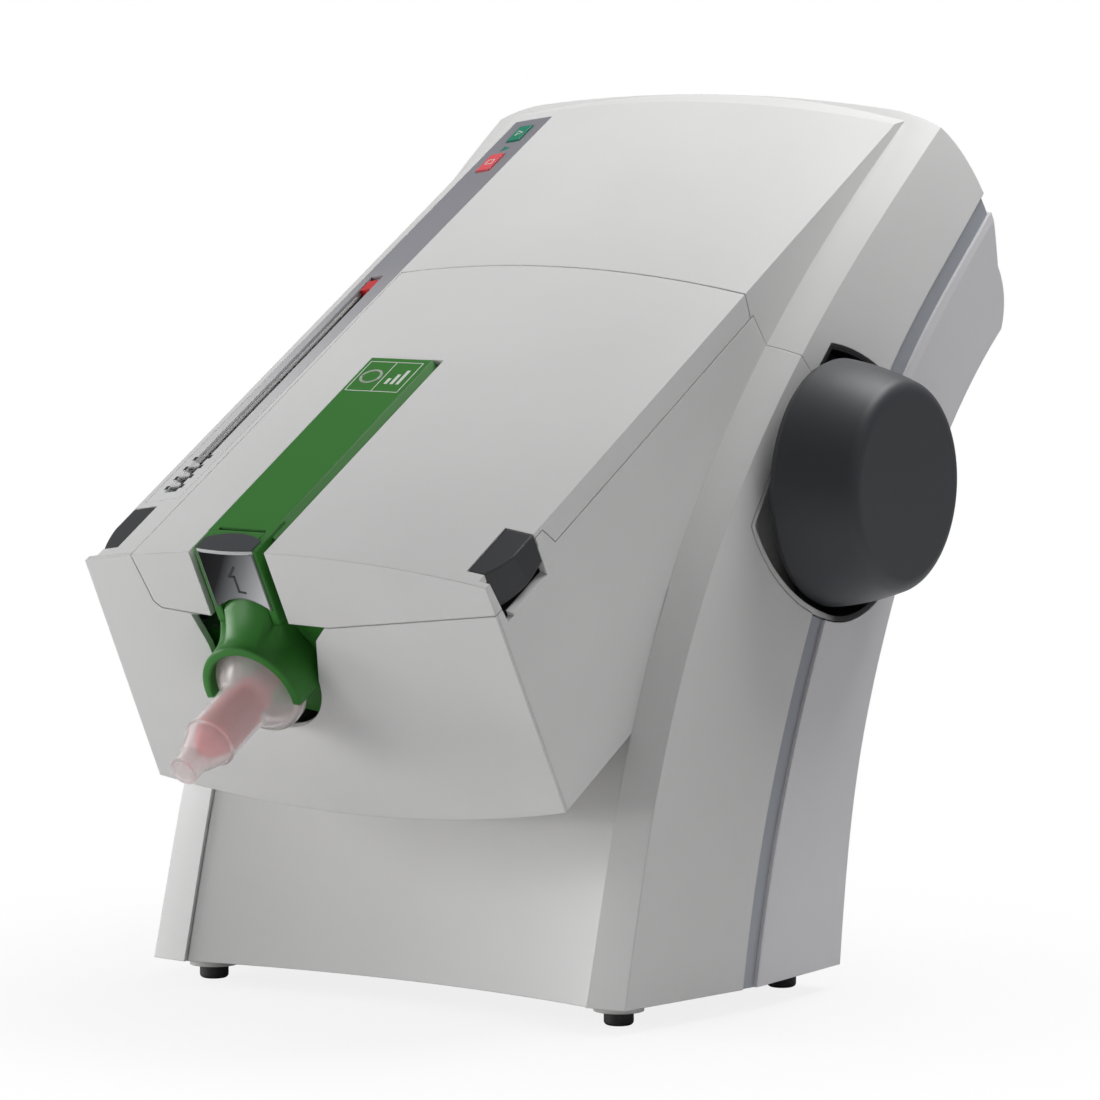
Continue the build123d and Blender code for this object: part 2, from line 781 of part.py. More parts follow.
# The front of the base: a concave panel between the two pillars, and the room it needs.
hollow_path = [(-pillar_inner_x, 0), (0, base_hollow), (pillar_inner_x, 0)]
panel_rear_line = inset_points(shoulder_points, -wall)
with BuildPart() as hollow_sweep:
    with BuildSketch(Plane(origin=(mid_x - pillar_inner_x, mid_y, 0), x_dir=(0, 1, 0), z_dir=(1, 0, 0))):
        with BuildLine():
            Spline(*shoulder_points)
            Spline(*panel_rear_line)
            Line(shoulder_points[0], panel_rear_line[0])
            Line(shoulder_points[-1], panel_rear_line[-1])
        make_face()
    with BuildLine(FLOOR):
        ThreePointArc(*hollow_path)
    sweep(normal=(1, 0, 0))
with BuildPart() as base_zone:
    add(behind([(y - crown_rise, z) for y, z in shoulder_points]))
    add(behind([(y + base_hollow + wall, z) for y, z in shoulder_points]), mode=Mode.SUBTRACT)
    half = pillar_inner_x + hair_gap
    box_between(FLOOR, (-half, -far_back, -far_over), (half, far_back, base_panel_top), Mode.INTERSECT)
    add(head_outer, mode=Mode.SUBTRACT)


# ---------------------------------------------------------------- housing
# Top cover: the arch's top, the field behind the lid and the left margin, with the hinge cheeks under it.
with BuildPart() as top_cover:
    add(front_skin.part)
    add(upper_zone.part, mode=Mode.INTERSECT)
    add(lid_room, mode=Mode.SUBTRACT)
    add(left_pocket, mode=Mode.SUBTRACT)
    head_section(-front_trim_growth, -far_over, panel_lip + hair_gap, Mode.SUBTRACT)
    head_section(wall, 0, front_panel_thickness + clearance, Mode.SUBTRACT)
    # The recess of the indicator strip, and the openings under it.
    add(strip_room, mode=Mode.SUBTRACT)
    box_between(HEAD, (slot_left, slot_front, -far_over), (slot_right, slot_rear, far_over), Mode.SUBTRACT)
    key_openings()
    for arm_x in (hinge_arm_left_x, hinge_arm_right_x):
        for side in (-1, 1):
            inside = arm_x + side * (hinge_arm_width / 2 + hinge_side_gap)
            low_x = min(inside, inside + side * cheek_thickness)
            top_w = crown_w(abs(arm_x) + cheek_half) - cheek_top_gap
            low = (low_x, hinge_s - cheek_half, hinge_w - cheek_half)
            box_between(HEAD, low, (low_x + cheek_thickness, hinge_s + cheek_half, top_w))
        low_x, high_x = (arm_x - pin_bore_reach, arm_x + pin_bore_reach)
        rod_between(HEAD_SIDE, (hinge_s, hinge_w), hinge_pin_radius, low_x, high_x, Mode.SUBTRACT)
    for post_x in (-board_half_width + post_inset_x, board_half_width - post_inset_x):
        for post_s in (board_front_s + post_inset_s, board_rear_s - post_inset_s):
            rod_between(HEAD, (post_x, post_s), post_radius, board_w, crown_w(post_x) - post_top_gap)
    for post_s in (key_board_front + key_post_inset, key_board_rear - key_post_inset):
        post_top = crown_w(key_board_right) - key_post_top_gap
        rod_between(HEAD, (key_board_right - key_post_inset, post_s), key_post_radius, key_board_w, post_top)
finish(top_cover.part, "top_cover")

# Lid: the field in front of the cover's edge, its front flange and right skirt, and two gooseneck arms.
with BuildPart() as lid:
    add(skin.part)
    add(lid_zone(0, 0), mode=Mode.INTERSECT)
    add(right_pocket.part, mode=Mode.SUBTRACT)
    box_between(HEAD, (lever_slot_left, -far_over, -far_over), (lever_slot_right, lever_slot_rear, far_over),
        Mode.SUBTRACT)
    for arm_x in (hinge_arm_left_x, hinge_arm_right_x):
        with BuildSketch(HEAD_SIDE.offset(arm_x - hinge_arm_width / 2)) as arm:
            with BuildLine():
                low_turn = 180 + goose_low_angle
                high_turn = 180 - goose_high_angle
                centre = (hinge_s, hinge_w)
                outside = CenterArc(centre, goose_outer, high_turn, goose_low_angle + goose_high_angle)
                inside = CenterArc(centre, goose_inner, high_turn, goose_low_angle + goose_high_angle)
                Line(outside @ 0, inside @ 0)
                Line(outside @ 1, inside @ 1)
            make_face()
            with Locations(centre):
                Circle(hinge_hub_radius)
            with Locations(Location(centre, low_turn)):
                with Locations((goose_outer / 2, 0)):
                    Rectangle(goose_outer, goose_leg)
            with Locations(centre):
                Circle(hinge_pin_radius + running_clearance, mode=Mode.SUBTRACT)
        extrude(arm.sketch, amount=hinge_arm_width)
finish(lid.part, "lid")

# Head front panel: a flat face with a lip round its core, and the cut-out for the collar.
with BuildPart() as head_front_panel:
    head_section(0, 0, panel_lip)
    head_section(wall + clearance, panel_lip, front_panel_thickness)
    add(lid_room, mode=Mode.SUBTRACT)
    with BuildSketch(HEAD_FRONT) as cut_out:
        with BuildLine():
            reach = cut_out_radius
            Polyline((cartridge_x - reach, axis_w), *cut_out_top, (cartridge_x + reach, axis_w))
            ThreePointArc((cartridge_x + reach, axis_w), (cartridge_x, axis_w - reach),
                (cartridge_x - reach, axis_w))
        make_face()
    extrude(cut_out.sketch, amount=far_over, both=True, mode=Mode.SUBTRACT)
finish(head_front_panel.part, "head_front_panel")

# Head floor: the sagging underside of the head between the two side shells.
with BuildPart() as head_floor:
    add(front_skin.part)
    box_between(HEAD, (-side_seam_x, -far_over, -far_back), (side_seam_x, far_back, -head_depth * 0.9),
        Mode.INTERSECT)
    add(base_zone.part, mode=Mode.SUBTRACT)
    head_section(-front_trim_growth, -far_over, panel_lip + hair_gap, Mode.SUBTRACT)
    head_section(wall, 0, front_panel_thickness + clearance, Mode.SUBTRACT)
finish(head_floor.part, "head_floor")

# Side shells: the head's flanks, the pillars and the lower flanks up to the trim band.
for name, side in (("side_shell_right", 1), ("side_shell_left", -1)):
    near = side_seam_x + seam_gap
    with BuildPart() as side_shell:
        add(front_skin.part)
        low_x, high_x = sorted((side * near, side * far_back))
        box_between(FLOOR, (low_x, -far_back, -far_over), (high_x, far_back, far_back), Mode.INTERSECT)
        add(lower_zone.part, mode=Mode.INTERSECT)
        add(base_zone.part, mode=Mode.SUBTRACT)
        add(lid_room, mode=Mode.SUBTRACT)
        add(right_pocket.part if side > 0 else left_pocket, mode=Mode.SUBTRACT)
        head_section(-front_trim_growth, -far_over, panel_lip + hair_gap, Mode.SUBTRACT)
        head_section(wall, 0, front_panel_thickness + clearance, Mode.SUBTRACT)
    finish(side_shell.part, name)

# Base front panel: concave in plan, butting under the head.
with BuildPart() as base_front_panel:
    add(hollow_sweep.part)
    half = pillar_inner_x - hair_gap
    box_between(FLOOR, (-half, -far_back, base_z), (half, far_back, base_panel_top), Mode.INTERSECT)
    add(head_form(-seam_gap), mode=Mode.SUBTRACT)
finish(base_front_panel.part, "base_front_panel")

# Trim band: a satin strip set a little below the shells on both sides of it.
with BuildPart() as trim_band:
    add(arch_form(trim_sink) & flanks_form(trim_sink))
    add(inner, mode=Mode.SUBTRACT)
    add(trim_front, mode=Mode.INTERSECT)
    add(trim_rear, mode=Mode.SUBTRACT)
    box_between(FLOOR, (-far_back, -far_back, -far_over), (far_back, far_back, base_z), Mode.SUBTRACT)
    add(cup_room, mode=Mode.SUBTRACT)
finish(trim_band.part, "trim_band")

# Rear cover: the back of the arch, with vents and the openings of the mains inlet and the switch.
with BuildPart() as rear_cover:
    add(skin.part)
    add(trim_rear, mode=Mode.INTERSECT)
    for centre_x, width, height in ((inlet_x, inlet_width, inlet_height),
        (switch_x, switch_width, switch_height)):
        low = (-centre_x - width / 2 - clearance, -height / 2 - clearance, -far_over / 2)
        box_between(BACK, low, (-centre_x + width / 2 + clearance, height / 2 + clearance, far_over / 2),
            Mode.SUBTRACT)
    for step in range(vent_count):
        low = (-vent_length / 2, vent_start + step * vent_pitch, -far_over / 2)
        box_between(BACK, low, (vent_length / 2, low[1] + vent_width, far_over / 2), Mode.SUBTRACT)
finish(rear_cover.part, "rear_cover")

# Base plate: the floor of the machine inside the shells.
with BuildPart() as base_plate:
    add(arch_form(wall + hair_gap) & flanks_form(wall + hair_gap))
    box_between(FLOOR, (-far_back, -far_back, base_z), (far_back, far_back, base_z + plate_thickness),
        Mode.INTERSECT)
    with BuildSketch(FLOOR) as front_edge:
        with BuildLine():
            run = wall + base_plate_front_gap
            half = pillar_inner_x + base_plate_side_gap
            ThreePointArc((-half, run), (0, base_hollow + run), (half, run))
            Polyline((half, run), (half, -far_over), (-half, -far_over), (-half, run))
        make_face()
    extrude(front_edge.sketch, amount=far_over, mode=Mode.SUBTRACT)
finish(base_plate.part, "base_plate")

# Feet: four light discs with a black rubber dome under each.
with BuildPart() as foot_discs:
    with BuildSketch(FLOOR.offset(foot_disc_bottom)):
        with Locations(*feet):
            Circle(foot_radius)
    extrude(amount=base_z - foot_disc_bottom)
finish(foot_discs.part, "foot_discs")

with BuildPart() as foot_pads:
    with BuildSketch(FLOOR):
        with Locations(*feet):
            Circle(foot_pad_radius)
    extrude(amount=foot_disc_bottom)
    fillet(foot_pads.edges().group_by(Axis.Z)[0], 1.6)
finish(foot_pads.part, "foot_pads")

# Recess cup: a well behind the handwheel, round but for its straight side beside the shoulder edge.
with BuildPart() as wheel_recess_cup:
    add(recess_zone(recess_radius + cup_wall, recess_land - cup_wall, recess_depth_x - cup_wall))
    add(arch_form(wall + seam_gap) & flanks_form(0), mode=Mode.INTERSECT)
    add(recess_zone(recess_radius, recess_land, recess_depth_x), mode=Mode.SUBTRACT)
    rod_between(SIDE, (wheel_y, wheel_z), bearing_radius, 0, far_back, Mode.SUBTRACT)
finish(wheel_recess_cup.part, "wheel_recess_cup")

# Indicator strip with the slot of the level pointer and the openings of the two keys.
with BuildPart() as indicator_strip:
    add(strip_body.part)
    box_between(HEAD, (slot_left, slot_front, -far_over), (slot_right, slot_rear, far_over), Mode.SUBTRACT)
    for tooth in range(scale_teeth):
        tooth_s = slot_front + scale_start + tooth * scale_pitch
        tooth_plan = [(slot_left, tooth_s)] + [(slot_left + scale_reach, tooth_s + run) for run in scale_tip]
        prism_between(HEAD, tooth_plan + [(slot_left, tooth_s + scale_base)], *scale_height)
    key_openings()
finish(indicator_strip.part, "indicator_strip")


# ---------------------------------------------------------------- chassis
# Right chassis plate: carries the wheel shaft, the feed motor, the tray and the walls square to the head.
chassis_right_end = chassis_right_x + chassis_thickness
feed_motor_centre = (head_s(wheel_y, motor_z), head_w(wheel_y, motor_z))
wheel_centre = (head_s(wheel_y, wheel_z), head_w(wheel_y, wheel_z))
with BuildPart() as chassis_right:
    bulkhead_rear = bulkhead_s + bulkhead_thickness
    under_carriage_w = carriage_bottom_w - shaft_end
    outline = right_plate_front + [(bulkhead_rear, right_plate_front[-1][1])]
    outline += [(bulkhead_rear, under_carriage_w), (right_plate_end_s, under_carriage_w)] + right_plate_rear
    prism_between(HEAD_SIDE, outline, chassis_right_x, chassis_right_end)
    rod_between(HEAD_SIDE, wheel_centre, bearing_radius, chassis_right_x, chassis_right_end, Mode.SUBTRACT)
    rod_between(HEAD_SIDE, feed_motor_centre, shaft_hole, chassis_right_x, chassis_right_end, Mode.SUBTRACT)
finish(chassis_right.part, "chassis_right")

# Left chassis plate: carries the far ends of the same walls.
with BuildPart() as chassis_left:
    outline = left_plate_front + [(bulkhead_rear, left_plate_front[-1][1])] + left_plate_rear
    prism_between(HEAD_SIDE, outline, chassis_left_x, chassis_left_x + chassis_thickness)
    rod_between(HEAD_SIDE, left_plate_window, left_plate_window_radius, chassis_left_x, 0, Mode.SUBTRACT)
finish(chassis_left.part, "chassis_left")

wall_left = chassis_left_x + chassis_thickness
wall_low = -96.0
pinion_w = axis_w - (mixer_teeth + mixer_pinion_teeth) * mixer_module / 2
rods = [(large_axis_x, large_rod_radius), (small_axis_x, small_rod_radius)]
tray_low = axis_w - tray_wall_radius - tray_floor_gap

# Bay wall: closes the cartridge bay in front of the mixer gear.
with BuildPart() as bay_wall:
    low_w = tray_low - tray_thickness
    top_w = pointer_w - pointer_room
    outline = [(wall_left, low_w), (wall_left, top_w), (chassis_right_x, top_w), (chassis_right_x, low_w)]
    plate_along(outline, bay_wall_s, bay_wall_s + bay_wall_thickness)
    for rod_x, radius in rods:
        rod_along(rod_x, axis_w, radius + clearance, 0, far_back, Mode.SUBTRACT)
    rod_along(cartridge_x, axis_w, mixer_bearing_radius, 0, far_back, Mode.SUBTRACT)
finish(bay_wall.part, "bay_wall")

# Bulkhead: the main wall, with bushes for the plunger rods and a notch for the left lid arm.
with BuildPart() as bulkhead:
    notch_left = hinge_arm_left_x - notch_half_width
    notch_right = hinge_arm_left_x + notch_half_width
    notch = [(notch_left, bulkhead_top_w), (notch_left, notch_w), (notch_right, notch_w),
        (notch_right, bulkhead_top_w)]
    shoulder_w = pointer_w - pointer_room
    outline = [(wall_left, wall_low), (wall_left, shoulder_w), (pointer_x + pointer_room, shoulder_w)]
    outline += [(pointer_x + pointer_room, bulkhead_top_w)] + notch
    outline += [(chassis_right_x, bulkhead_top_w), (chassis_right_x, wall_low)]
    plate_along(outline, bulkhead_s, bulkhead_s + bulkhead_thickness)
    for rod_x, radius in rods:
        rod_along(rod_x, axis_w, radius + bush_wall, 0, far_back, Mode.SUBTRACT)
    rod_along(cartridge_x, axis_w, mixer_bearing_radius, 0, far_back, Mode.SUBTRACT)
    rod_along(cartridge_x, pinion_w, shaft_hole, 0, far_back, Mode.SUBTRACT)
finish(bulkhead.part, "bulkhead")

with BuildPart() as rod_bushes:
    for rod_x, radius in rods:
        rod_along(rod_x, axis_w, radius + bush_wall, bulkhead_s, bulkhead_s + bulkhead_thickness)
        rod_along(rod_x, axis_w, radius + bush_wall + bush_flange, bulkhead_s + bulkhead_thickness, bush_rear)
        rod_along(rod_x, axis_w, radius + running_clearance, 0, far_back, Mode.SUBTRACT)
finish(rod_bushes.part, "rod_bushes")

with BuildPart() as mixer_bearings:
    for front, rear in ((bay_wall_s, bay_wall_s + bay_wall_thickness),
        (bulkhead_s, bulkhead_s + bulkhead_thickness)):
        rod_along(cartridge_x, axis_w, mixer_bearing_radius, front, rear)
    rod_along(cartridge_x, axis_w, mixer_shaft_radius + running_clearance, 0, far_back, Mode.SUBTRACT)
finish(mixer_bearings.part, "mixer_bearings")

# Cartridge tray: a trough between the two chassis plates with two saddles for the tubes.
with BuildPart() as cartridge_tray:
    left = wall_left
    inside = left + tray_thickness
    outline = [(left, tray_low - tray_thickness), (left, tray_edge_w), (inside, tray_edge_w)]
    outline += [(inside, tray_low), (chassis_right_x, tray_low), (chassis_right_x, tray_low - tray_thickness)]
    plate_along(outline, tray_front_s, bay_wall_s)
    for saddle_s in saddles:
        saddle = [(inside, tray_low), (inside, saddle_top_w), (chassis_right_x, saddle_top_w),
            (chassis_right_x, tray_low)]
        plate_along(saddle, saddle_s, saddle_s + tray_thickness)
    rod_along(large_axis_x, axis_w, tray_wall_radius + clearance, 0, far_back, Mode.SUBTRACT)
    rod_along(small_axis_x, axis_w, small_tube_radius + clearance, 0, far_back, Mode.SUBTRACT)
    box_between(HEAD, (small_axis_x, 0, saddle_middle_w), (large_axis_x, bay_wall_s, 0), Mode.SUBTRACT)
finish(cartridge_tray.part, "cartridge_tray")

# Button holders: a shelf and a back wall behind each lid button.
with BuildPart() as button_holders:
    for side in (1, -1):
        near = side * (button_left_x - holder_gap - holder_wall)
        inner = side * (button_left_x - holder_gap)
        far = side * holder_reach_x
        shelf_w = -button_depth_w - 2 * button_travel
        shelf = [(near, shelf_w - holder_wall), (near, holder_top_w), (inner, holder_top_w), (inner, shelf_w)]
        shelf += [(far, shelf_w), (far, shelf_w - holder_wall)]
        plate_along(shelf, front_panel_thickness, button_rear_s + holder_rear_reach)
finish(button_holders.part, "button_holders")

with BuildPart() as button_right:
    plan = [(button_left_x, button_front_s), (button_left_x, button_rear_s)]
    with BuildSketch(HEAD.offset(-button_depth_w)) as button_plan:
        with BuildLine():
            Polyline((button_front_x, button_front_s), *plan, (button_rear_x, button_rear_s))
            ThreePointArc((button_rear_x, button_rear_s), button_side, (button_front_x, button_front_s))
        make_face()
    extrude(button_plan.sketch, amount=far_over)
    add(head_form(button_sink), mode=Mode.INTERSECT)
    with BuildSketch(HEAD_SIDE) as button_foot:
        with BuildLine():
            foot_front = (button_front_s - button_foot_over, -button_depth_w)
            foot_middle = (button_foot_middle[0], button_foot_middle[1] - button_depth_w)
            foot_rear = (button_rear_s + button_foot_over, button_foot_rise - button_depth_w)
            ThreePointArc(foot_front, foot_middle, foot_rear)
            Polyline(foot_rear, (foot_rear[0], -far_over), (foot_front[0], -far_over), foot_front)
        make_face()
    extrude(button_foot.sketch, amount=far_back, mode=Mode.SUBTRACT)
finish(button_right.part, "button_right")
button_left = mirror(button_right.part, about=Plane.YZ.offset(mid_x))
finish(button_left, "button_left")

with BuildPart() as hinge_pins:
    for arm_x in (hinge_arm_left_x, hinge_arm_right_x):
        low_x, high_x = (arm_x - pin_half_length, arm_x + pin_half_length)
        rod_between(HEAD_SIDE, (hinge_s, hinge_w), hinge_pin_radius, low_x, high_x)
finish(hinge_pins.part, "hinge_pins")


# ---------------------------------------------------------------- cartridge
tubes = [(large_axis_x, tray_wall_radius), (small_axis_x, small_tube_radius)]
with BuildPart() as cartridge_body:
    for tube_x, radius in tubes:
        rod_along(tube_x, axis_w, radius, cartridge_front_s, cartridge_rear_s)
    for front in (cartridge_front_s, cartridge_rear_s - cartridge_plate):
        link = [(small_axis_x, axis_w - small_tube_radius), (small_axis_x, axis_w + small_tube_radius)]
        link += [(large_axis_x, axis_w + link_half_height), (large_axis_x, axis_w - link_half_height)]
        plate_along(link, front, front + cartridge_plate)
    for tube_x, radius in tubes:
        rod_along(tube_x, axis_w, radius - tube_wall, cartridge_front_s + cartridge_plate, far_back,
            Mode.SUBTRACT)
    rod_along(cartridge_x, axis_w, mixer_shaft_radius + clearance, 0, far_back, Mode.SUBTRACT)
finish(cartridge_body.part, "cartridge_body")

# Spine: the green bar in the lid's slot, with a web down between the tubes and two rails at its front.
with BuildPart() as cartridge_spine:
    bar = [(spine_left, spine_low_w), (spine_left, spine_top_w), (spine_right, spine_top_w),
        (spine_foot, spine_low_w)]
    plate_along(bar, latch_axis[0], spine_rear_s)
    web = [(web_left, spine_low_w), (web_right, spine_low_w), (web_right, web_low_w), (web_left, web_low_w)]
    plate_along(web, cartridge_front_s + cartridge_plate, spine_rear_s)
    bridge_rear = latch_axis[0] + latch_hub_radius + bridge_length
    for rail in ((rail_left, rail_left + rail_width), (rail_right - rail_width, rail_right)):
        box_between(HEAD, (rail[0], 0, rail_low_w), (rail[1], web_front_s, spine_top_w))
        box_between(HEAD, (rail[0], 0, bridge_w - bridge_depth), (rail[1], bridge_rear, spine_top_w))
    latch_room_low = (rail_left + rail_width, -far_over, -far_over)
    latch_room_high = (rail_right - rail_width, latch_axis[0] + latch_hub_radius + clearance, far_over)
    box_between(HEAD, latch_room_low, latch_room_high, Mode.SUBTRACT)
    box_between(HEAD, (rail_left, bridge_start, bridge_w - bridge_depth), (rail_right, bridge_rear, bridge_w))
    rod_between(HEAD_SIDE, latch_axis, trunnion_radius + running_clearance, rail_left + rail_skin,
        rail_right - rail_skin, Mode.SUBTRACT)
finish(cartridge_spine.part, "cartridge_spine")

# Collar: a hood open at its bottom round the root of the mixing tip, hung from the two rails.
with BuildPart() as cartridge_collar:
    rod_along(cartridge_x, axis_w, hood_radius, collar_front_s, cartridge_front_s)
    neck_left = rail_left - neck_flare
    neck_right = rail_right + neck_flare
    neck_front_s = collar_front_s + neck_setback
    neck_low = [(neck_left, neck_front_s), (neck_right, neck_front_s), (neck_right, web_front_s),
        (neck_left, web_front_s)]
    neck_high = [(rail_left, 0), (rail_right, 0), (rail_right, web_front_s), (rail_left, web_front_s)]
    with BuildSketch(HEAD.offset(axis_w + neck_rise)):
        with BuildLine():
            Polyline(*neck_low, close=True)
        make_face()
    with BuildSketch(HEAD.offset(rail_low_w)):
        with BuildLine():
            Polyline(*neck_high, close=True)
        make_face()
    loft()
    rod_along(cartridge_x, axis_w, hood_inner_radius, -far_over, collar_rear_s, Mode.SUBTRACT)
    mouth_x, mouth_w = mouth_corner
    mouth = [(cartridge_x, axis_w + mouth_top), (cartridge_x + mouth_x, axis_w + mouth_w)]
    mouth += [(cartridge_x - mouth_x, axis_w + mouth_w)]
    plate_along(mouth, -far_over, collar_rear_s, Mode.SUBTRACT)
    rod_along(cartridge_x, axis_w, outlet_radius, 0, far_back, Mode.SUBTRACT)
    box_between(HEAD, (web_left - clearance, web_front_s, -far_over), (web_right + clearance, far_over, 0),
        Mode.SUBTRACT)
finish(cartridge_collar.part, "cartridge_collar")

# Latch: a flap between the rails, hinged at the rear of its top tab.
with BuildPart() as cartridge_latch:
    latch_top_w = latch_axis[1] + latch_hub_radius
    latch_tab_w = latch_axis[1] - latch_tab_drop
    box_between(HEAD, (latch_left, latch_front_s, latch_low_w), (latch_right, latch_front_s + latch_thickness,
        latch_top_w))
    box_between(HEAD, (latch_left, latch_front_s, latch_tab_w), (latch_right, latch_axis[0], latch_top_w))
    rod_between(HEAD_SIDE, latch_axis, latch_hub_radius, latch_left, latch_right)
    rod_between(HEAD_SIDE, latch_axis, trunnion_radius, latch_left - trunnion_reach,
        latch_right + trunnion_reach)
    with BuildSketch(HEAD_FRONT) as foot_arc:
        with BuildLine():
            middle = (latch_left + latch_right) / 2
            ThreePointArc((latch_left, latch_low_w), (middle, latch_arc_w), (latch_right, latch_low_w))
            Line((latch_right, latch_low_w), (latch_left, latch_low_w))
        make_face()
    extrude(foot_arc.sketch, amount=far_over, both=True, mode=Mode.SUBTRACT)
finish(cartridge_latch.part, "cartridge_latch")

# Mixing tip: a thin clear shell of revolution, from its flange over the barrel to the nozzle.
tip_step_s = tip_wall - tip_step_rear
tip_root = [(collar_rear_s, tip_root_radius), (tip_step_s, tip_root_radius), (tip_step_s, tip_flange_radius)]
tip_front = tip_flange_front + tip_cone + [(-tip_length, tip_nozzle_radius)]
tip_outside = tip_root + tip_front
tip_inside = [(collar_rear_s, tip_root_radius - tip_wall), (-tip_step_rear, tip_root_radius - tip_wall)]
tip_inside += [(-tip_step_rear, tip_flange_radius - tip_wall)]
tip_inside += [(s, radius - tip_wall) for s, radius in tip_front]
TIP = Plane(origin=HEAD_FRONT.from_local_coords(Vector(cartridge_x, axis_w, 0)), x_dir=HEAD_SIDE.x_dir,
    z_dir=(1, 0, 0))
with BuildPart() as mixing_tip:
    with BuildSketch(TIP):
        with BuildLine():
            Polyline(*tip_outside, *reversed(tip_inside), close=True)
        make_face()
    revolve(axis=Axis(TIP.origin, TIP.x_dir))
finish(mixing_tip.part, "mixing_tip")

# Rotor: a shaft with rows of blades, each row turned from the last.
with BuildPart() as mixing_rotor:
    rod_along(cartridge_x, axis_w, rotor_shaft_radius, rotor_front_s, rotor_rear_s)
    rod_along(cartridge_x, axis_w, rotor_shaft_radius * 2, rotor_core_front_s, rotor_rear_s)
    blade_pitch = (blade_rear_s - rotor_front_s) / blade_count
    for blade in range(blade_count):
        with BuildSketch(across(rotor_front_s + blade * blade_pitch + blade_front_gap)) as blade_face:
            with Locations(Location((cartridge_x, axis_w), blade * blade_turn)):
                Rectangle(2 * rotor_radius, blade_width)
            with Locations((cartridge_x, axis_w)):
                Circle(rotor_radius, mode=Mode.INTERSECT)
        extrude(blade_face.sketch, amount=blade_thickness)
finish(mixing_rotor.part, "mixing_rotor")


# ---------------------------------------------------------------- mixer drive
with BuildPart() as mixer_shaft:
    rod_along(cartridge_x, axis_w, mixer_shaft_radius, rotor_rear_s, bulkhead_rear + shaft_end)
finish(mixer_shaft.part, "mixer_shaft")

mixer_gear_rear = mixer_gear_s + mixer_gear_width
with BuildPart() as mixer_gear:
    gear_between(HEAD_FRONT, (cartridge_x, axis_w), mixer_teeth, mixer_module, -mixer_gear_rear,
        -mixer_gear_s, -90)
    rod_along(cartridge_x, axis_w, mixer_shaft_radius, 0, far_back, Mode.SUBTRACT)
finish(mixer_gear.part, "mixer_gear")

with BuildPart() as mixer_motor_pinion:
    half_tooth = 180 / mixer_pinion_teeth
    gear_between(HEAD_FRONT, (cartridge_x, pinion_w), mixer_pinion_teeth, mixer_module, -mixer_gear_rear,
        -mixer_gear_s, 90 + half_tooth)
    rod_along(cartridge_x, pinion_w, feed_shaft_radius, mixer_gear_s, motor_front_s + motor_shaft_reach)
finish(mixer_motor_pinion.part, "mixer_motor_pinion")

with BuildPart() as mixer_motor:
    rod_along(cartridge_x, pinion_w, mixer_motor_radius, motor_front_s, motor_front_s + mixer_motor_length)
    rod_along(cartridge_x, pinion_w, feed_shaft_radius + clearance, motor_front_s,
        motor_front_s + motor_socket, Mode.SUBTRACT)
finish(mixer_motor.part, "mixer_motor")


# ---------------------------------------------------------------- plunger feed
carriage_front = carriage_s - carriage_thickness
with BuildPart() as plunger_carriage:
    box_between(HEAD, (carriage_left, carriage_front, carriage_bottom_w),
        (carriage_right, carriage_s, carriage_top_w))
    arm_low = (pointer_x - pointer_arm_half, carriage_front, carriage_bottom_w)
    box_between(HEAD, arm_low, (pointer_x + pointer_arm_half, carriage_s, pointer_w + pointer_arm_rise))
finish(plunger_carriage.part, "plunger_carriage")

disc_front = cartridge_rear_s + clearance
disc_rear = disc_front + disc_thickness
for name, (tube_x, tube_radius), (rod_x, rod_radius) in zip(("large", "small"), tubes, rods):
    with BuildPart() as plunger_disc:
        rod_along(tube_x, axis_w, tube_radius - tube_wall - disc_gap, disc_front, disc_rear)
    finish(plunger_disc.part, f"disc_{name}")
    with BuildPart() as plunger_rod:
        rod_along(rod_x, axis_w, rod_radius, disc_rear, carriage_front)
    finish(plunger_rod.part, f"rod_{name}")

pitch_line_w = wheel_centre[1] + feed_teeth * feed_module / 2
with BuildPart() as feed_rack:
    outline = [(carriage_front, rack_top_w), (rack_front_s, rack_top_w)]
    root_w = pitch_line_w + 1.25 * feed_module
    tip_w = pitch_line_w - feed_module
    outline += [(rack_front_s, root_w)]
    tooth_pitch = math.pi * feed_module
    tooth_count = int((carriage_front - rack_front_s) / tooth_pitch) - 1
    first = math.ceil((rack_front_s - wheel_centre[0]) / tooth_pitch) + 1
    for tooth in range(first, first + tooth_count - 1):
        middle = wheel_centre[0] + (tooth + 0.5) * tooth_pitch
        outline += [(middle - 0.36 * tooth_pitch, root_w), (middle - 0.12 * tooth_pitch, tip_w)]
        outline += [(middle + 0.12 * tooth_pitch, tip_w), (middle + 0.36 * tooth_pitch, root_w)]
    outline += [(carriage_front, root_w)]
    prism_between(HEAD_SIDE, outline, rack_left, rack_right)
finish(feed_rack.part, "feed_rack")

with BuildPart() as pointer_rod:
    rod_along(pointer_x, pointer_w, pointer_rod_radius, pointer_rear_s, carriage_front)
finish(pointer_rod.part, "pointer_rod")

with BuildPart() as level_pointer:
    low = (slot_left + clearance, pointer_rear_s - pointer_length, pointer_w - pointer_rod_radius)
    box_between(HEAD, low, (slot_right - clearance, pointer_rear_s, far_over))
    add(head_form(hair_gap), mode=Mode.INTERSECT)
finish(level_pointer.part, "level_pointer")

with BuildPart() as feed_pinion:
    gear_between(HEAD_SIDE, wheel_centre, feed_teeth, feed_module, feed_pinion_x,
        feed_pinion_x + feed_pinion_width, 90)
    rod_between(HEAD_SIDE, wheel_centre, wheel_shaft_radius, 0, far_back, Mode.SUBTRACT)
finish(feed_pinion.part, "feed_pinion")

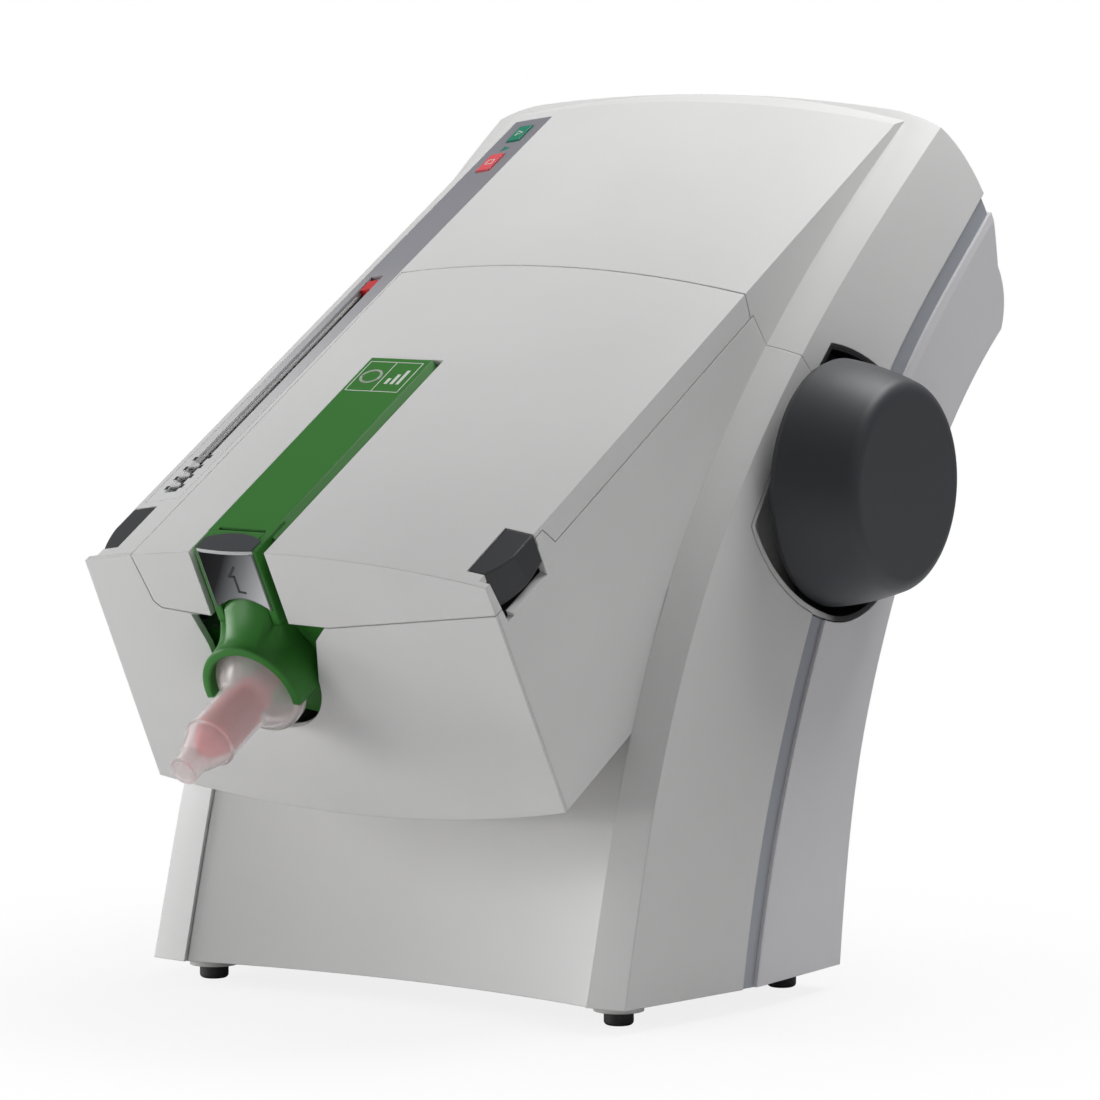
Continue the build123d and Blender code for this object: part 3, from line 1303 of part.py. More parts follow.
mesh_angle = 270.0 - head_tilt
feed_gear_end = feed_gear_x + feed_gear_width
with BuildPart() as feed_gear:
    gear_between(HEAD_SIDE, wheel_centre, feed_gear_teeth, feed_gear_module, feed_gear_x, feed_gear_end,
        mesh_angle)
    rod_between(HEAD_SIDE, wheel_centre, wheel_shaft_radius, 0, far_back, Mode.SUBTRACT)
finish(feed_gear.part, "feed_gear")

with BuildPart() as feed_motor_pinion:
    turn = mesh_angle + 180 + 180 / feed_motor_teeth
    gear_between(HEAD_SIDE, feed_motor_centre, feed_motor_teeth, feed_gear_module, feed_gear_x, feed_gear_end,
        turn)
    rod_between(HEAD_SIDE, feed_motor_centre, feed_shaft_radius, chassis_right_x - motor_shaft_reach,
        feed_gear_end)
finish(feed_motor_pinion.part, "feed_motor_pinion")

with BuildPart() as feed_motor:
    rod_between(HEAD_SIDE, feed_motor_centre, feed_motor_radius, chassis_right_x - feed_motor_length,
        chassis_right_x)
    rod_between(HEAD_SIDE, feed_motor_centre, feed_shaft_radius + clearance, chassis_right_x - motor_socket,
        chassis_right_x, Mode.SUBTRACT)
finish(feed_motor.part, "feed_motor")

with BuildPart() as wheel_shaft:
    rod_between(HEAD_SIDE, wheel_centre, wheel_shaft_radius, chassis_right_x - shaft_root, wheel_bore_end)
finish(wheel_shaft.part, "wheel_shaft")

with BuildPart() as wheel_bearings:
    rod_between(HEAD_SIDE, wheel_centre, bearing_radius, chassis_right_x, chassis_right_end)
    rod_between(HEAD_SIDE, wheel_centre, bearing_radius, recess_depth_x - cup_wall, recess_depth_x)
    rod_between(HEAD_SIDE, wheel_centre, wheel_shaft_radius + running_clearance, 0, far_back, Mode.SUBTRACT)
finish(wheel_bearings.part, "wheel_bearings")

# Handwheel: a hollow drum with a slightly bulging rim and a hub for the shaft.
WHEEL = Plane(origin=SIDE.from_local_coords(Vector(wheel_y, wheel_z, 0)), x_dir=(1, 0, 0), z_dir=(0, -1, 0))
with BuildPart() as handwheel:
    with BuildSketch(WHEEL):
        with BuildLine():
            rear_radius = wheel_root_radius - wheel_rear_step
            Polyline((wheel_front_x, 0), (wheel_rear_x, 0), (wheel_rear_x, rear_radius),
                (wheel_root_x, wheel_root_radius))
            bulge = ((wheel_root_x + wheel_front_x) / 2,
                (wheel_root_radius + wheel_front_radius) / 2 + wheel_bulge)
            ThreePointArc((wheel_root_x, wheel_root_radius), bulge, (wheel_front_x, wheel_front_radius))
            Line((wheel_front_x, wheel_front_radius), (wheel_front_x, 0))
        make_face()
    revolve(axis=Axis(WHEEL.origin, (1, 0, 0)))
    fillet(handwheel.edges().group_by(Axis.X)[-1], wheel_edge_radius)
    with BuildSketch(WHEEL):
        with BuildLine():
            inside = wheel_front_x - wheel_wall
            rim_front = (inside, wheel_front_radius - wheel_wall - rim_inner_step)
            rim_rear = (wheel_rear_x, wheel_root_radius - wheel_wall)
            Polyline((wheel_rear_x, hub_radius), (inside, hub_radius), rim_front, rim_rear, close=True)
        make_face()
    revolve(axis=Axis(WHEEL.origin, (1, 0, 0)), mode=Mode.SUBTRACT)
    rod_between(SIDE, (wheel_y, wheel_z), wheel_shaft_radius, 0, wheel_bore_end, Mode.SUBTRACT)
finish(handwheel.part, "handwheel")


# ---------------------------------------------------------------- electrics
with BuildPart() as power_supply:
    floor_z = base_z + plate_thickness
    box_between(FLOOR, (*psu_low, floor_z), (*psu_high, floor_z + psu_height))
finish(power_supply.part, "power_supply")

with BuildPart() as control_board:
    low = (-board_half_width, board_front_s, board_w - board_thickness)
    box_between(HEAD, low, (board_half_width, board_rear_s, board_w))
finish(control_board.part, "control_board")

# Mains inlet: a shrouded socket with three pins.
with BuildPart() as power_inlet:
    half_width_in = inlet_width / 2
    half_height_in = inlet_height / 2
    low = (-inlet_x - half_width_in, -half_height_in, -inlet_depth)
    box_between(BACK, low, (-inlet_x + half_width_in, half_height_in, back_flange))
    half_x, half_y = socket_half
    low = (-inlet_x - half_x, -half_y, -socket_floor)
    box_between(BACK, low, (-inlet_x + half_x, half_y, back_flange), Mode.SUBTRACT)
    half_x, half_y = pin_half
    for pin_x, pin_y in pins:
        low = (-inlet_x + pin_x - half_x, pin_y - half_y, -socket_floor)
        box_between(BACK, low, (-inlet_x + pin_x + half_x, pin_y + half_y, -pin_front))
finish(power_inlet.part, "power_inlet")

with BuildPart() as switch_frame:
    half_w = switch_width / 2
    half_h = switch_height / 2
    box_between(BACK, (-switch_x - half_w, -half_h, -switch_depth), (-switch_x + half_w, half_h, back_flange))
    low = (-switch_x - half_w + switch_wall, -half_h + switch_wall, -switch_floor)
    box_between(BACK, low, (-switch_x + half_w - switch_wall, half_h - switch_wall, back_flange), Mode.SUBTRACT)
    pivot_point = BACK.from_local_coords(Vector(-switch_x, 0, -pivot_depth))
    PIVOT = Plane(origin=pivot_point, x_dir=BACK.y_dir, z_dir=(1, 0, 0))
    bore_half = half_w - pivot_inset
    rod_between(PIVOT, (0, 0), pivot_radius + running_clearance, -bore_half, bore_half, Mode.SUBTRACT)
finish(switch_frame.part, "switch_frame")

with BuildPart() as power_switch:
    rocker_half = half_h - rocker_gap
    lean = math.tan(math.radians(rocker_lean))
    rise = rocker_half * lean
    rocker = [(-rocker_half, rocker_rise - rise), (0, rocker_waist), (rocker_half, rocker_rise + rise)]
    rocker += [(rocker_half, rise - rocker_depth), (-rocker_half, -rise - rocker_depth)]
    rocker_side = half_w - switch_wall - clearance
    prism_between(PIVOT, [(y, -z) for y, z in rocker], -rocker_side, rocker_side)
    rod_between(PIVOT, (0, 0), pivot_radius, hair_gap - bore_half, bore_half - hair_gap)
finish(power_switch.part, "power_switch")

# Keys in the indicator strip, on a small board of their own.
for name, (key_x, key_s, key_width, key_length) in (("start_key", start_key_size), ("stop_key", stop_key_size)):
    with BuildPart() as key:
        low = (key_x - key_width / 2, key_s - key_length / 2, key_board_w + hair_gap + key_travel)
        box_between(HEAD, low, (key_x + key_width / 2, key_s + key_length / 2, far_over))
        add(head_form(-key_rise), mode=Mode.INTERSECT)
    finish(key.part, name)

with BuildPart() as key_board:
    low = (key_board_left, key_board_front, key_board_w - board_thickness)
    box_between(HEAD, low, (key_board_right, key_board_rear, key_board_w))
finish(key_board.part, "key_board")
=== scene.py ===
import json
import math

import bmesh
import bpy
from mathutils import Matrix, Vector


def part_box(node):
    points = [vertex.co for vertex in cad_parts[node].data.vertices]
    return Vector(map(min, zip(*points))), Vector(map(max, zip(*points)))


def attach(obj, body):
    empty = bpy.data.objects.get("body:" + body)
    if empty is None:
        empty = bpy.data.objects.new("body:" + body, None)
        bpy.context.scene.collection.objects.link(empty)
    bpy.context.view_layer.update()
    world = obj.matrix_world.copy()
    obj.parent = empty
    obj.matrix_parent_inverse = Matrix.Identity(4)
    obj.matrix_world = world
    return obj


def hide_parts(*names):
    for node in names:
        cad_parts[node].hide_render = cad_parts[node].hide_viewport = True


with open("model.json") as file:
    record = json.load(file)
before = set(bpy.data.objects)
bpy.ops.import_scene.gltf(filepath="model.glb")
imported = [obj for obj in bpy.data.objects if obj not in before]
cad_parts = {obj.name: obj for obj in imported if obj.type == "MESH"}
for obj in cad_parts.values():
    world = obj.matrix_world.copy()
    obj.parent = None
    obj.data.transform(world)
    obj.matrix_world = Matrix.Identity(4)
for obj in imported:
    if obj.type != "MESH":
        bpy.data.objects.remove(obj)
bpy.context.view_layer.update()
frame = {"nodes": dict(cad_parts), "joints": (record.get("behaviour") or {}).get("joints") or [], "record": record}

MM = 0.001

# ---------------------------------------------------------------- the head's frame, from the joints
joints = {joint["name"]: joint for joint in frame["joints"]}
head_forward = Vector(joints["mixer_spin"]["axis"])
head_up = -Vector(joints["right_button_press"]["axis"])
right = Vector((1, 0, 0))
tip_axis_x = -23.5 * MM
tip_axis_w = -49.5 * MM
tip_root = Vector(joints["mixer_spin"]["pos_m"])
head_origin = tip_root - right * tip_axis_x - head_up * tip_axis_w
middle_x = head_origin.x


def head_point(x, s, w):
    """A point of the head, in metres: x across, s behind its front face, w above its top plane."""
    return head_origin + right * x - head_forward * s + head_up * w


def tip_point(radius, angle, s):
    """A point round the axis of the mixing tip."""
    return tip_root - head_forward * s + right * radius * math.cos(angle) + head_up * radius * math.sin(angle)


head_half_top = 93.9 * MM
head_crown = 9.2 * MM


def crown(x):
    """Height of the head's crowned top at x."""
    return head_crown * (1 - (x / head_half_top) ** 2)


# ---------------------------------------------------------------- materials
def node_adder(tree):
    """A helper that adds a node to a tree, with its links and settings."""
    def node(kind, links=(), **values):
        made = tree.nodes.new(kind)
        for key, value in values.items():
            setattr(made, key, value)
        for source, socket in links:
            tree.links.new(source, made.inputs[socket])
        return made

    return node


def start_material(name):
    """A material with only its shader, and a helper that adds nodes to it."""
    material = bpy.data.materials.new(name)
    material.use_nodes = True
    tree = material.node_tree
    return material, tree, tree.nodes["Principled BSDF"], node_adder(tree)


def add_noise(node, place, scale, detail):
    """The value of a noise texture."""
    noise = node("ShaderNodeTexNoise", [(place, "Vector")])
    noise.inputs["Scale"].default_value = scale
    noise.inputs["Detail"].default_value = detail
    return noise.outputs["Fac"]


def add_gloss(tree, node, shader, noise, low, high):
    """Spreads the roughness between two values by a noise."""
    spread = node("ShaderNodeMapRange", [(noise, "Value")])
    spread.inputs["To Min"].default_value = low
    spread.inputs["To Max"].default_value = high
    tree.links.new(spread.outputs["Result"], shader.inputs["Roughness"])


def add_grain(tree, node, shader, noise, strength, edge):
    """A fine bump from a noise, on micro edges rounded to a radius in millimetres."""
    rounded = node("ShaderNodeBevel", samples=bevel_samples)
    rounded.inputs["Radius"].default_value = edge * MM
    bump = node("ShaderNodeBump", [(noise, "Height"), (rounded.outputs["Normal"], "Normal")])
    bump.inputs["Strength"].default_value = strength
    bump.inputs["Distance"].default_value = grain_height
    tree.links.new(bump.outputs["Normal"], shader.inputs["Normal"])


bevel_samples = 4
grain_height = 0.05 * MM
mottle_scale, mottle_share, mottle_low, mottle_high = 14.0, 0.02, 0.3, 0.7
moulded_gloss_spread = 0.06


def moulded(name, colour, roughness, grain=2400.0, depth=0.05, edge=0.6, coat=0.0, metallic=0.0,
            specular=0.5):
    """Moulded or machined stuff: a fine grain, a faint mottle, uneven gloss and rounded micro edges."""
    material, tree, shader, node = start_material(name)
    place = node("ShaderNodeTexCoord").outputs["Object"]
    soft = add_noise(node, place, mottle_scale, 3.0)
    fine = add_noise(node, place, grain, 2.0)
    ramp = node("ShaderNodeValToRGB", [(soft, "Fac")])
    ramp.color_ramp.elements[0].position = mottle_low
    ramp.color_ramp.elements[1].position = mottle_high
    ramp.color_ramp.elements[0].color = (*[c * (1 - mottle_share) for c in colour], 1)
    ramp.color_ramp.elements[1].color = (*[min(1, c * (1 + mottle_share)) for c in colour], 1)
    tree.links.new(ramp.outputs["Color"], shader.inputs["Base Color"])
    add_gloss(tree, node, shader, fine, roughness - moulded_gloss_spread, roughness + moulded_gloss_spread)
    add_grain(tree, node, shader, fine, depth, edge)
    shader.inputs["Metallic"].default_value = metallic
    shader.inputs["Coat Weight"].default_value = coat
    shader.inputs["Specular IOR Level"].default_value = specular
    return material


def shade_along(material, start, end, stops):
    """Colours a material along the way from one point to another, by (share of the way, colour) stops."""
    tree = material.node_tree
    way = end - start
    place = tree.nodes.new("ShaderNodeTexCoord")
    moved = tree.nodes.new("ShaderNodeVectorMath")
    moved.operation = "SUBTRACT"
    moved.inputs[1].default_value = start
    share = tree.nodes.new("ShaderNodeVectorMath")
    share.operation = "DOT_PRODUCT"
    share.inputs[1].default_value = way / way.length_squared
    ramp = tree.nodes.new("ShaderNodeValToRGB")
    elements = ramp.color_ramp.elements
    for element, (where, colour) in ((elements[0], stops[0]), (elements[1], stops[-1])):
        element.position = where
        element.color = (*colour, 1)
    for where, colour in stops[1:-1]:
        elements.new(where).color = (*colour, 1)
    tree.links.new(place.outputs["Object"], moved.inputs[0])
    tree.links.new(moved.outputs[0], share.inputs[0])
    tree.links.new(share.outputs["Value"], ramp.inputs["Fac"])
    tree.links.new(ramp.outputs["Color"], tree.nodes["Principled BSDF"].inputs["Base Color"])
    return material


line_scale, line_dark, line_light = 60.0, 0.86, 1.1
line_bump, line_edge = 0.08, 0.3
line_gloss_below, line_gloss_above = 0.08, 0.1


def brushed(name, colour, roughness, stretch):
    """Turned or brushed metal: fine lines along one axis of the object."""
    material, tree, shader, node = start_material(name)
    place = node("ShaderNodeTexCoord").outputs["Object"]
    lines = node("ShaderNodeMapping", [(place, "Vector")])
    lines.inputs["Scale"].default_value = stretch
    fine = add_noise(node, lines.outputs["Vector"], line_scale, 5.0)
    ramp = node("ShaderNodeValToRGB", [(fine, "Fac")])
    ramp.color_ramp.elements[0].color = (*[c * line_dark for c in colour], 1)
    ramp.color_ramp.elements[1].color = (*[min(1, c * line_light) for c in colour], 1)
    tree.links.new(ramp.outputs["Color"], shader.inputs["Base Color"])
    add_gloss(tree, node, shader, fine, roughness - line_gloss_below, roughness + line_gloss_above)
    add_grain(tree, node, shader, fine, line_bump, line_edge)
    shader.inputs["Metallic"].default_value = 1.0
    return material


streak_scale, streak_bump, streak_height = 320.0, 0.12, 0.1 * MM
streak_gloss_low, streak_gloss_high = 0.6, 1.5
thin_wall_ior = 1.2


def clear_plastic(name, colour, roughness, clarity):
    """Thin clear plastic with faint flow streaks."""
    material, tree, shader, node = start_material(name)
    place = node("ShaderNodeTexCoord").outputs["Object"]
    streak = add_noise(node, place, streak_scale, 3.0)
    add_gloss(tree, node, shader, streak, roughness * streak_gloss_low, roughness * streak_gloss_high)
    bump = node("ShaderNodeBump", [(streak, "Height")])
    bump.inputs["Strength"].default_value = streak_bump
    bump.inputs["Distance"].default_value = streak_height
    tree.links.new(bump.outputs["Normal"], shader.inputs["Normal"])
    shader.inputs["Base Color"].default_value = (*colour, 1)
    shader.inputs["Transmission Weight"].default_value = clarity
    shader.inputs["IOR"].default_value = thin_wall_ior
    return material


slot_materials = {
    "housing_white": moulded("housing_white", (0.76, 0.755, 0.75), 0.42, specular=0.35),
    "rear_grey": moulded("rear_grey", (0.74, 0.73, 0.755), 0.44, specular=0.35),
    "trim_silver": moulded("trim_silver", (0.40, 0.42, 0.46), 0.38, depth=0.03, metallic=0.25),
    "strip_silver": moulded("strip_silver", (0.62, 0.62, 0.64), 0.34, depth=0.02, edge=0.12, metallic=0.05),
    "foot_grey": moulded("foot_grey", (0.66, 0.65, 0.64), 0.5),
    "foot_rubber": moulded("foot_rubber", (0.022, 0.022, 0.024), 0.62, depth=0.15),
    "recess_dark": moulded("recess_dark", (0.012, 0.012, 0.014), 0.5, specular=0.3),
    "anthracite": moulded("anthracite", (0.050, 0.052, 0.060), 0.46, grain=2600.0, depth=0.10, edge=0.8,
                          specular=0.4),
    "button_black": moulded("button_black", (0.035, 0.036, 0.040), 0.36, depth=0.05, edge=1.3),
    "green_plastic": moulded("green_plastic", (0.045, 0.215, 0.035), 0.34, depth=0.02, edge=1.3, specular=0.25),
    "latch_dark": moulded("latch_dark", (0.060, 0.063, 0.070), 0.32, depth=0.02, edge=0.4, specular=0.4),
    "tip_clear": clear_plastic("tip_clear", (0.98, 0.93, 0.93), 0.07, 0.72),
    "rotor_red": moulded("rotor_red", (0.66, 0.10, 0.12), 0.40, depth=0.02),
    "pointer_red": moulded("pointer_red", (0.68, 0.02, 0.025), 0.28, depth=0.02, coat=0.2),
    "key_green": moulded("key_green", (0.0, 0.22, 0.13), 0.30, depth=0.02),
    "key_red": moulded("key_red", (0.80, 0.09, 0.11), 0.30, depth=0.02),
    "sheet_steel": moulded("sheet_steel", (0.42, 0.44, 0.46), 0.36, grain=900.0, depth=0.06, metallic=0.7),
    "shaft_steel": brushed("shaft_steel", (0.62, 0.62, 0.63), 0.24, (1.0, 14.0, 14.0)),
    "brass_bush": brushed("brass_bush", (0.72, 0.56, 0.26), 0.30, (6.0, 6.0, 6.0)),
    "gear_nylon": moulded("gear_nylon", (0.72, 0.70, 0.62), 0.45),
    "pinion_steel": brushed("pinion_steel", (0.52, 0.53, 0.54), 0.32, (4.0, 8.0, 8.0)),
    "motor_case": brushed("motor_case", (0.46, 0.47, 0.48), 0.40, (3.0, 10.0, 10.0)),
    "carriage_metal": brushed("carriage_metal", (0.66, 0.67, 0.68), 0.36, (1.0, 12.0, 12.0)),
    "disc_plastic": moulded("disc_plastic", (0.78, 0.78, 0.76), 0.4),
    "holder_dark": moulded("holder_dark", (0.05, 0.05, 0.052), 0.5),
    "psu_case": brushed("psu_case", (0.60, 0.60, 0.60), 0.45, (10.0, 2.0, 10.0)),
    "board_green": moulded("board_green", (0.012, 0.10, 0.035), 0.35, depth=0.04),
    "inlet_black": moulded("inlet_black", (0.020, 0.020, 0.022), 0.42),
}
# Painted reflection: the strip's colour is painted darker to the rear, where it mirrors less of the light.
shade_along(slot_materials["strip_silver"], head_point(-82 * MM, 40 * MM, 0), head_point(-79 * MM, 333 * MM, 0),
            [(0.0, (0.82, 0.82, 0.82)), (0.25, (0.68, 0.68, 0.69)), (0.6, (0.32, 0.32, 0.35)),
             (1.0, (0.24, 0.24, 0.27))])
# The recess is pale in front of the wheel and dark behind it. Its slot is one colour, so this is a departure.
cup_front_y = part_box("wheel_recess_cup")[0][1]
wheel_middle_y = joints["handwheel_turn"]["pos_m"][1]
shade_along(slot_materials["recess_dark"], Vector((0, cup_front_y, 0)), Vector((0, wheel_middle_y, 0)),
            [(0.0, (0.70, 0.70, 0.69)), (0.55, (0.66, 0.66, 0.65)), (0.85, (0.02, 0.02, 0.02)),
             (1.0, (0.012, 0.012, 0.014))])
print_white = moulded("print_white", (0.72, 0.76, 0.70), 0.5, depth=0.02, edge=0.05)
print_dark = moulded("print_dark", (0.030, 0.028, 0.026), 0.5, depth=0.02, edge=0.05)
latch_silver = moulded("latch_silver", (0.60, 0.61, 0.62), 0.30, depth=0.02, edge=0.2, metallic=0.3)
latch_rim_grey = moulded("latch_rim_grey", (0.16, 0.165, 0.17), 0.35, depth=0.02, edge=0.2)
# Painted reflection: the latch face's colour runs from near black at its top left to a pale grey sheen at its
# lower right. It stands in for a glossy reflection, and its own specular is kept low.
latch_painted_sheen = shade_along(moulded("latch_painted_sheen", (0.2, 0.2, 0.2), 0.45, depth=0.01, edge=0.1, specular=0.08),
                          head_point(-36 * MM, 0, 4 * MM), head_point(-11 * MM, 0, -12 * MM),
                          [(0.0, (0.004, 0.004, 0.005)), (0.28, (0.018, 0.018, 0.020)),
                           (0.60, (0.24, 0.25, 0.26)), (1.0, (0.66, 0.67, 0.68))])
# The latch's own solid is green, unlike its slot. make_latch lays the dark cap and face on it.
node_finishes = {"cartridge_latch": "green_plastic"}
for entry in frame["record"]["subparts"]:
    cad_object = frame["nodes"][entry["node"]]
    cad_object.data.materials.clear()
    cad_object.data.materials.append(slot_materials[node_finishes.get(entry["node"], entry["material_slot"])])


# ---------------------------------------------------------------- mesh helpers
smooth_angle = math.radians(38.0)
merge_distance = 0.002 * MM
corner_steps = 4


def add_mesh(name, vertices, faces, material):
    """A mesh object with shading that is smooth but for its sharp edges."""
    mesh = bpy.data.meshes.new(name)
    mesh.from_pydata([tuple(v) for v in vertices], [], faces)
    made = bpy.data.objects.new(name, mesh)
    bpy.context.scene.collection.objects.link(made)
    shape = bmesh.new()
    shape.from_mesh(mesh)
    bmesh.ops.remove_doubles(shape, verts=shape.verts, dist=merge_distance)
    bmesh.ops.recalc_face_normals(shape, faces=shape.faces)
    for face in shape.faces:
        face.smooth = True
    for edge in shape.edges:
        edge.smooth = len(edge.link_faces) == 2 and edge.calc_face_angle(0) < smooth_angle
    shape.to_mesh(mesh)
    shape.free()
    mesh.materials.append(material)
    return made


def grid_faces(rows, columns, closed_rows=False, start=0):
    """Quads between a grid's points, where each row is a closed loop."""
    faces = []
    for row in range(rows if closed_rows else rows - 1):
        for column in range(columns):
            next_row = (row + 1) % rows
            next_column = (column + 1) % columns
            faces.append((start + row * columns + column, start + row * columns + next_column,
                          start + next_row * columns + next_column, start + next_row * columns + column))
    return faces


def turned(name, profile, steps, material):
    """A closed profile of (s, radius) turned round the axis of the mixing tip."""
    vertices = []
    for step in range(steps):
        angle = 2 * math.pi * step / steps
        vertices += [tip_point(radius, angle, s) for s, radius in profile]
    return add_mesh(name, vertices, grid_faces(steps, len(profile), True), material)


def rounded_profile(corners):
    """A polyline of (s, radius, corner radius) with its corners rounded."""
    made = []
    count = len(corners)
    for index, (s, radius, size) in enumerate(corners):
        here = Vector((s, radius))
        if size <= 0:
            made.append((s, radius))
            continue
        before = Vector(corners[index - 1][:2]) - here
        after = Vector(corners[(index + 1) % count][:2]) - here
        reach = min(size, before.length * 0.48, after.length * 0.48)
        start = here + before.normalized() * reach
        end = here + after.normalized() * reach
        for step in range(corner_steps + 1):
            t = step / corner_steps
            point = start * (1 - t) ** 2 + here * 2 * t * (1 - t) + end * t * t
            made.append((point.x, point.y))
    return made


def slabs(name, outlines, low, high, to_point, material, body):
    """Flat plates from low to high, one for each outline, placed by a function of the outline's two values."""
    vertices, faces = [], []
    for outline in outlines:
        start, count = len(vertices), len(outline)
        for level in (low, high):
            vertices += [to_point(u * MM, v * MM, level * MM) for u, v in outline]
        faces.append(tuple(range(start, start + count)))
        faces.append(tuple(range(start + 2 * count - 1, start + count - 1, -1)))
        faces += grid_faces(2, count, start=start)
    made = add_mesh(name, vertices, faces, material)
    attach(made, body)
    return made


def strokes(points, width, closed=False):
    """Thin rectangles along a polyline, as outlines."""
    ends = points[1:] + points[:1] if closed else points[1:]
    made = []
    for (u0, v0), (u1, v1) in zip(points, ends):
        way = Vector((u1 - u0, v1 - v0)).normalized() * width / 2
        side = Vector((-way.y, way.x))
        first, last = Vector((u0, v0)) - way, Vector((u1, v1)) + way
        made.append([tuple(first + side), tuple(first - side), tuple(last - side), tuple(last + side)])
    return made


def ring_points(middle_u, middle_v, radius, steps):
    """Points once round a circle, the first one again at the end."""
    angles = [math.radians(360 * step / steps) for step in range(steps + 1)]
    return [(middle_u + radius * math.cos(a), middle_v + radius * math.sin(a)) for a in angles]


def on_crown(x, s, rise):
    """A point on the head's crowned top."""
    return head_point(x, s, crown(x) + rise)


def on_front(x, w, depth):
    """A point on the head's front side, at a depth behind its front face."""
    return head_point(x, depth, w)


# ---------------------------------------------------------------- mixing tip and rotor
def make_mixing_tip():
    """The clear tip: a stepped flange, a cone, a barrel with an end ring and a nozzle, all with a thin wall."""
    outside = [(2.6, 16.0, 0.3), (-3.6, 16.0, 0.5), (-3.6, 19.0, 0.5), (-9.0, 19.0, 0.9),
               (-9.6, 16.8, 0.8), (-14.5, 13.2, 2.5), (-18.5, 10.2, 2.0), (-42.4, 10.3, 0.4),
               (-42.6, 10.7, 0.3), (-43.8, 10.7, 0.3), (-44.2, 9.9, 0.8), (-53.0, 6.9, 1.4),
               (-54.6, 6.0, 0.8), (-61.6, 5.6, 0.3), (-61.8, 6.0, 0.2), (-62.5, 6.0, 0.2)]
    inside = [(-62.5, 4.4, 0.2), (-54.8, 4.8, 0.8), (-52.4, 5.8, 1.2), (-43.6, 8.6, 1.0), (-19.0, 9.1, 2.0),
              (-14.0, 12.0, 2.5), (-8.6, 15.2, 0.8), (-8.0, 17.3, 0.5), (-4.8, 17.3, 0.5), (-4.8, 14.9, 0.5),
              (2.6, 14.9, 0.3)]
    profile = rounded_profile([(s * MM, radius * MM, size * MM) for s, radius, size in outside + inside])
    tip = turned("tip_shell", profile, 72, slot_materials["tip_clear"])
    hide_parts("mixing_tip")
    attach(tip, "housing")


def make_rotor():
    """The red rotor: a helical blade on a core, a conical front end and a driven disc at its root."""
    front, rear = -43.0, -17.5
    turns, steps = 7.5, 300
    core_radius, root_reach, blade_reach = 3.0, 3.2, 5.4
    half_blade, blade_round = 0.85, 0.4
    fades_per_length = 18
    vertices, columns = [], 6
    for step in range(steps + 1):
        share = step / steps
        s = rear + (front - rear) * share
        angle = -2 * math.pi * turns * share
        fade = min(1.0, share * fades_per_length, (1 - share) * fades_per_length)
        reach = root_reach + blade_reach * fade
        near_tip = reach - blade_round
        section = [(core_radius, -half_blade), (near_tip, -half_blade * 0.7), (reach, -half_blade * 0.35),
                   (reach, half_blade * 0.35), (near_tip, half_blade * 0.7), (core_radius, half_blade)]
        vertices += [tip_point(r * MM, angle, (s + offset) * MM) for r, offset in section]
    faces = grid_faces(steps + 1, columns)
    faces += [tuple(range(columns))[::-1], tuple(steps * columns + c for c in range(columns))]
    blade = add_mesh("rotor_blade", vertices, faces, slot_materials["rotor_red"])
    core_corners = [(-51.6, 0.3, 0.2), (-50.4, 1.8, 0.6), (-44.4, 6.6, 0.8), (-43.0, 6.8, 0.5),
                    (-42.6, 3.3, 0.5), (-17.6, 3.3, 0.5), (-17.0, 6.4, 0.6), (-11.0, 7.6, 1.0),
                    (-9.6, 7.6, 0.6), (-9.0, 4.8, 0.6), (2.2, 4.8, 0.3), (2.2, 0.3, 0.0)]
    core = turned("rotor_core", rounded_profile([(s * MM, r * MM, k * MM) for s, r, k in core_corners]), 48,
                  slot_materials["rotor_red"])
    for piece in (blade, core):
        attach(piece, "mixer_body")
    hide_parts("mixing_rotor")


# ---------------------------------------------------------------- collar
hood_radius = 22.4
hood_inner_radius = 19.3
hood_front_s = -13.0
hood_rear_s = 7.8
neck_front_s = 0.9
neck_half_width = 14.6
neck_top_w = 25.4
tongue_half_width = 10.8
tongue_top_w = 36.3
tongue_sag = 5.0
tongue_rounds = 6
ring_reach = 22.2
blend_width = 2.2
rim_length = 1.5
flare_power = 1.7
rim_round = 0.9
bore_radius = 8.6
bore_depth_s = 3.4
step_width = 1.6


def neck_reach(angle):
    """How far the collar's root reaches from the tip's axis.

    It is a block, with a tongue up to the latch between the rails. The tongue's height and its sag depend on
    each other, so they are found in a few rounds.
    """
    up = max(math.sin(angle), 0.05)
    side = max(abs(math.cos(angle)), 0.02)
    block = tongue = 0.0
    if math.sin(angle) > 0:
        block = min(neck_top_w / up, neck_half_width / side)
        tongue = tongue_top_w / up
        for _ in range(tongue_rounds):
            across = tongue * side / tongue_half_width
            tongue = (tongue_top_w - tongue_sag * min(across, 1.0) ** 2) / up
        tongue = min(tongue, tongue_half_width / side)
    difference = max(block, tongue) - ring_reach
    return ring_reach + (difference + math.sqrt(difference * difference + blend_width * blend_width)) / 2


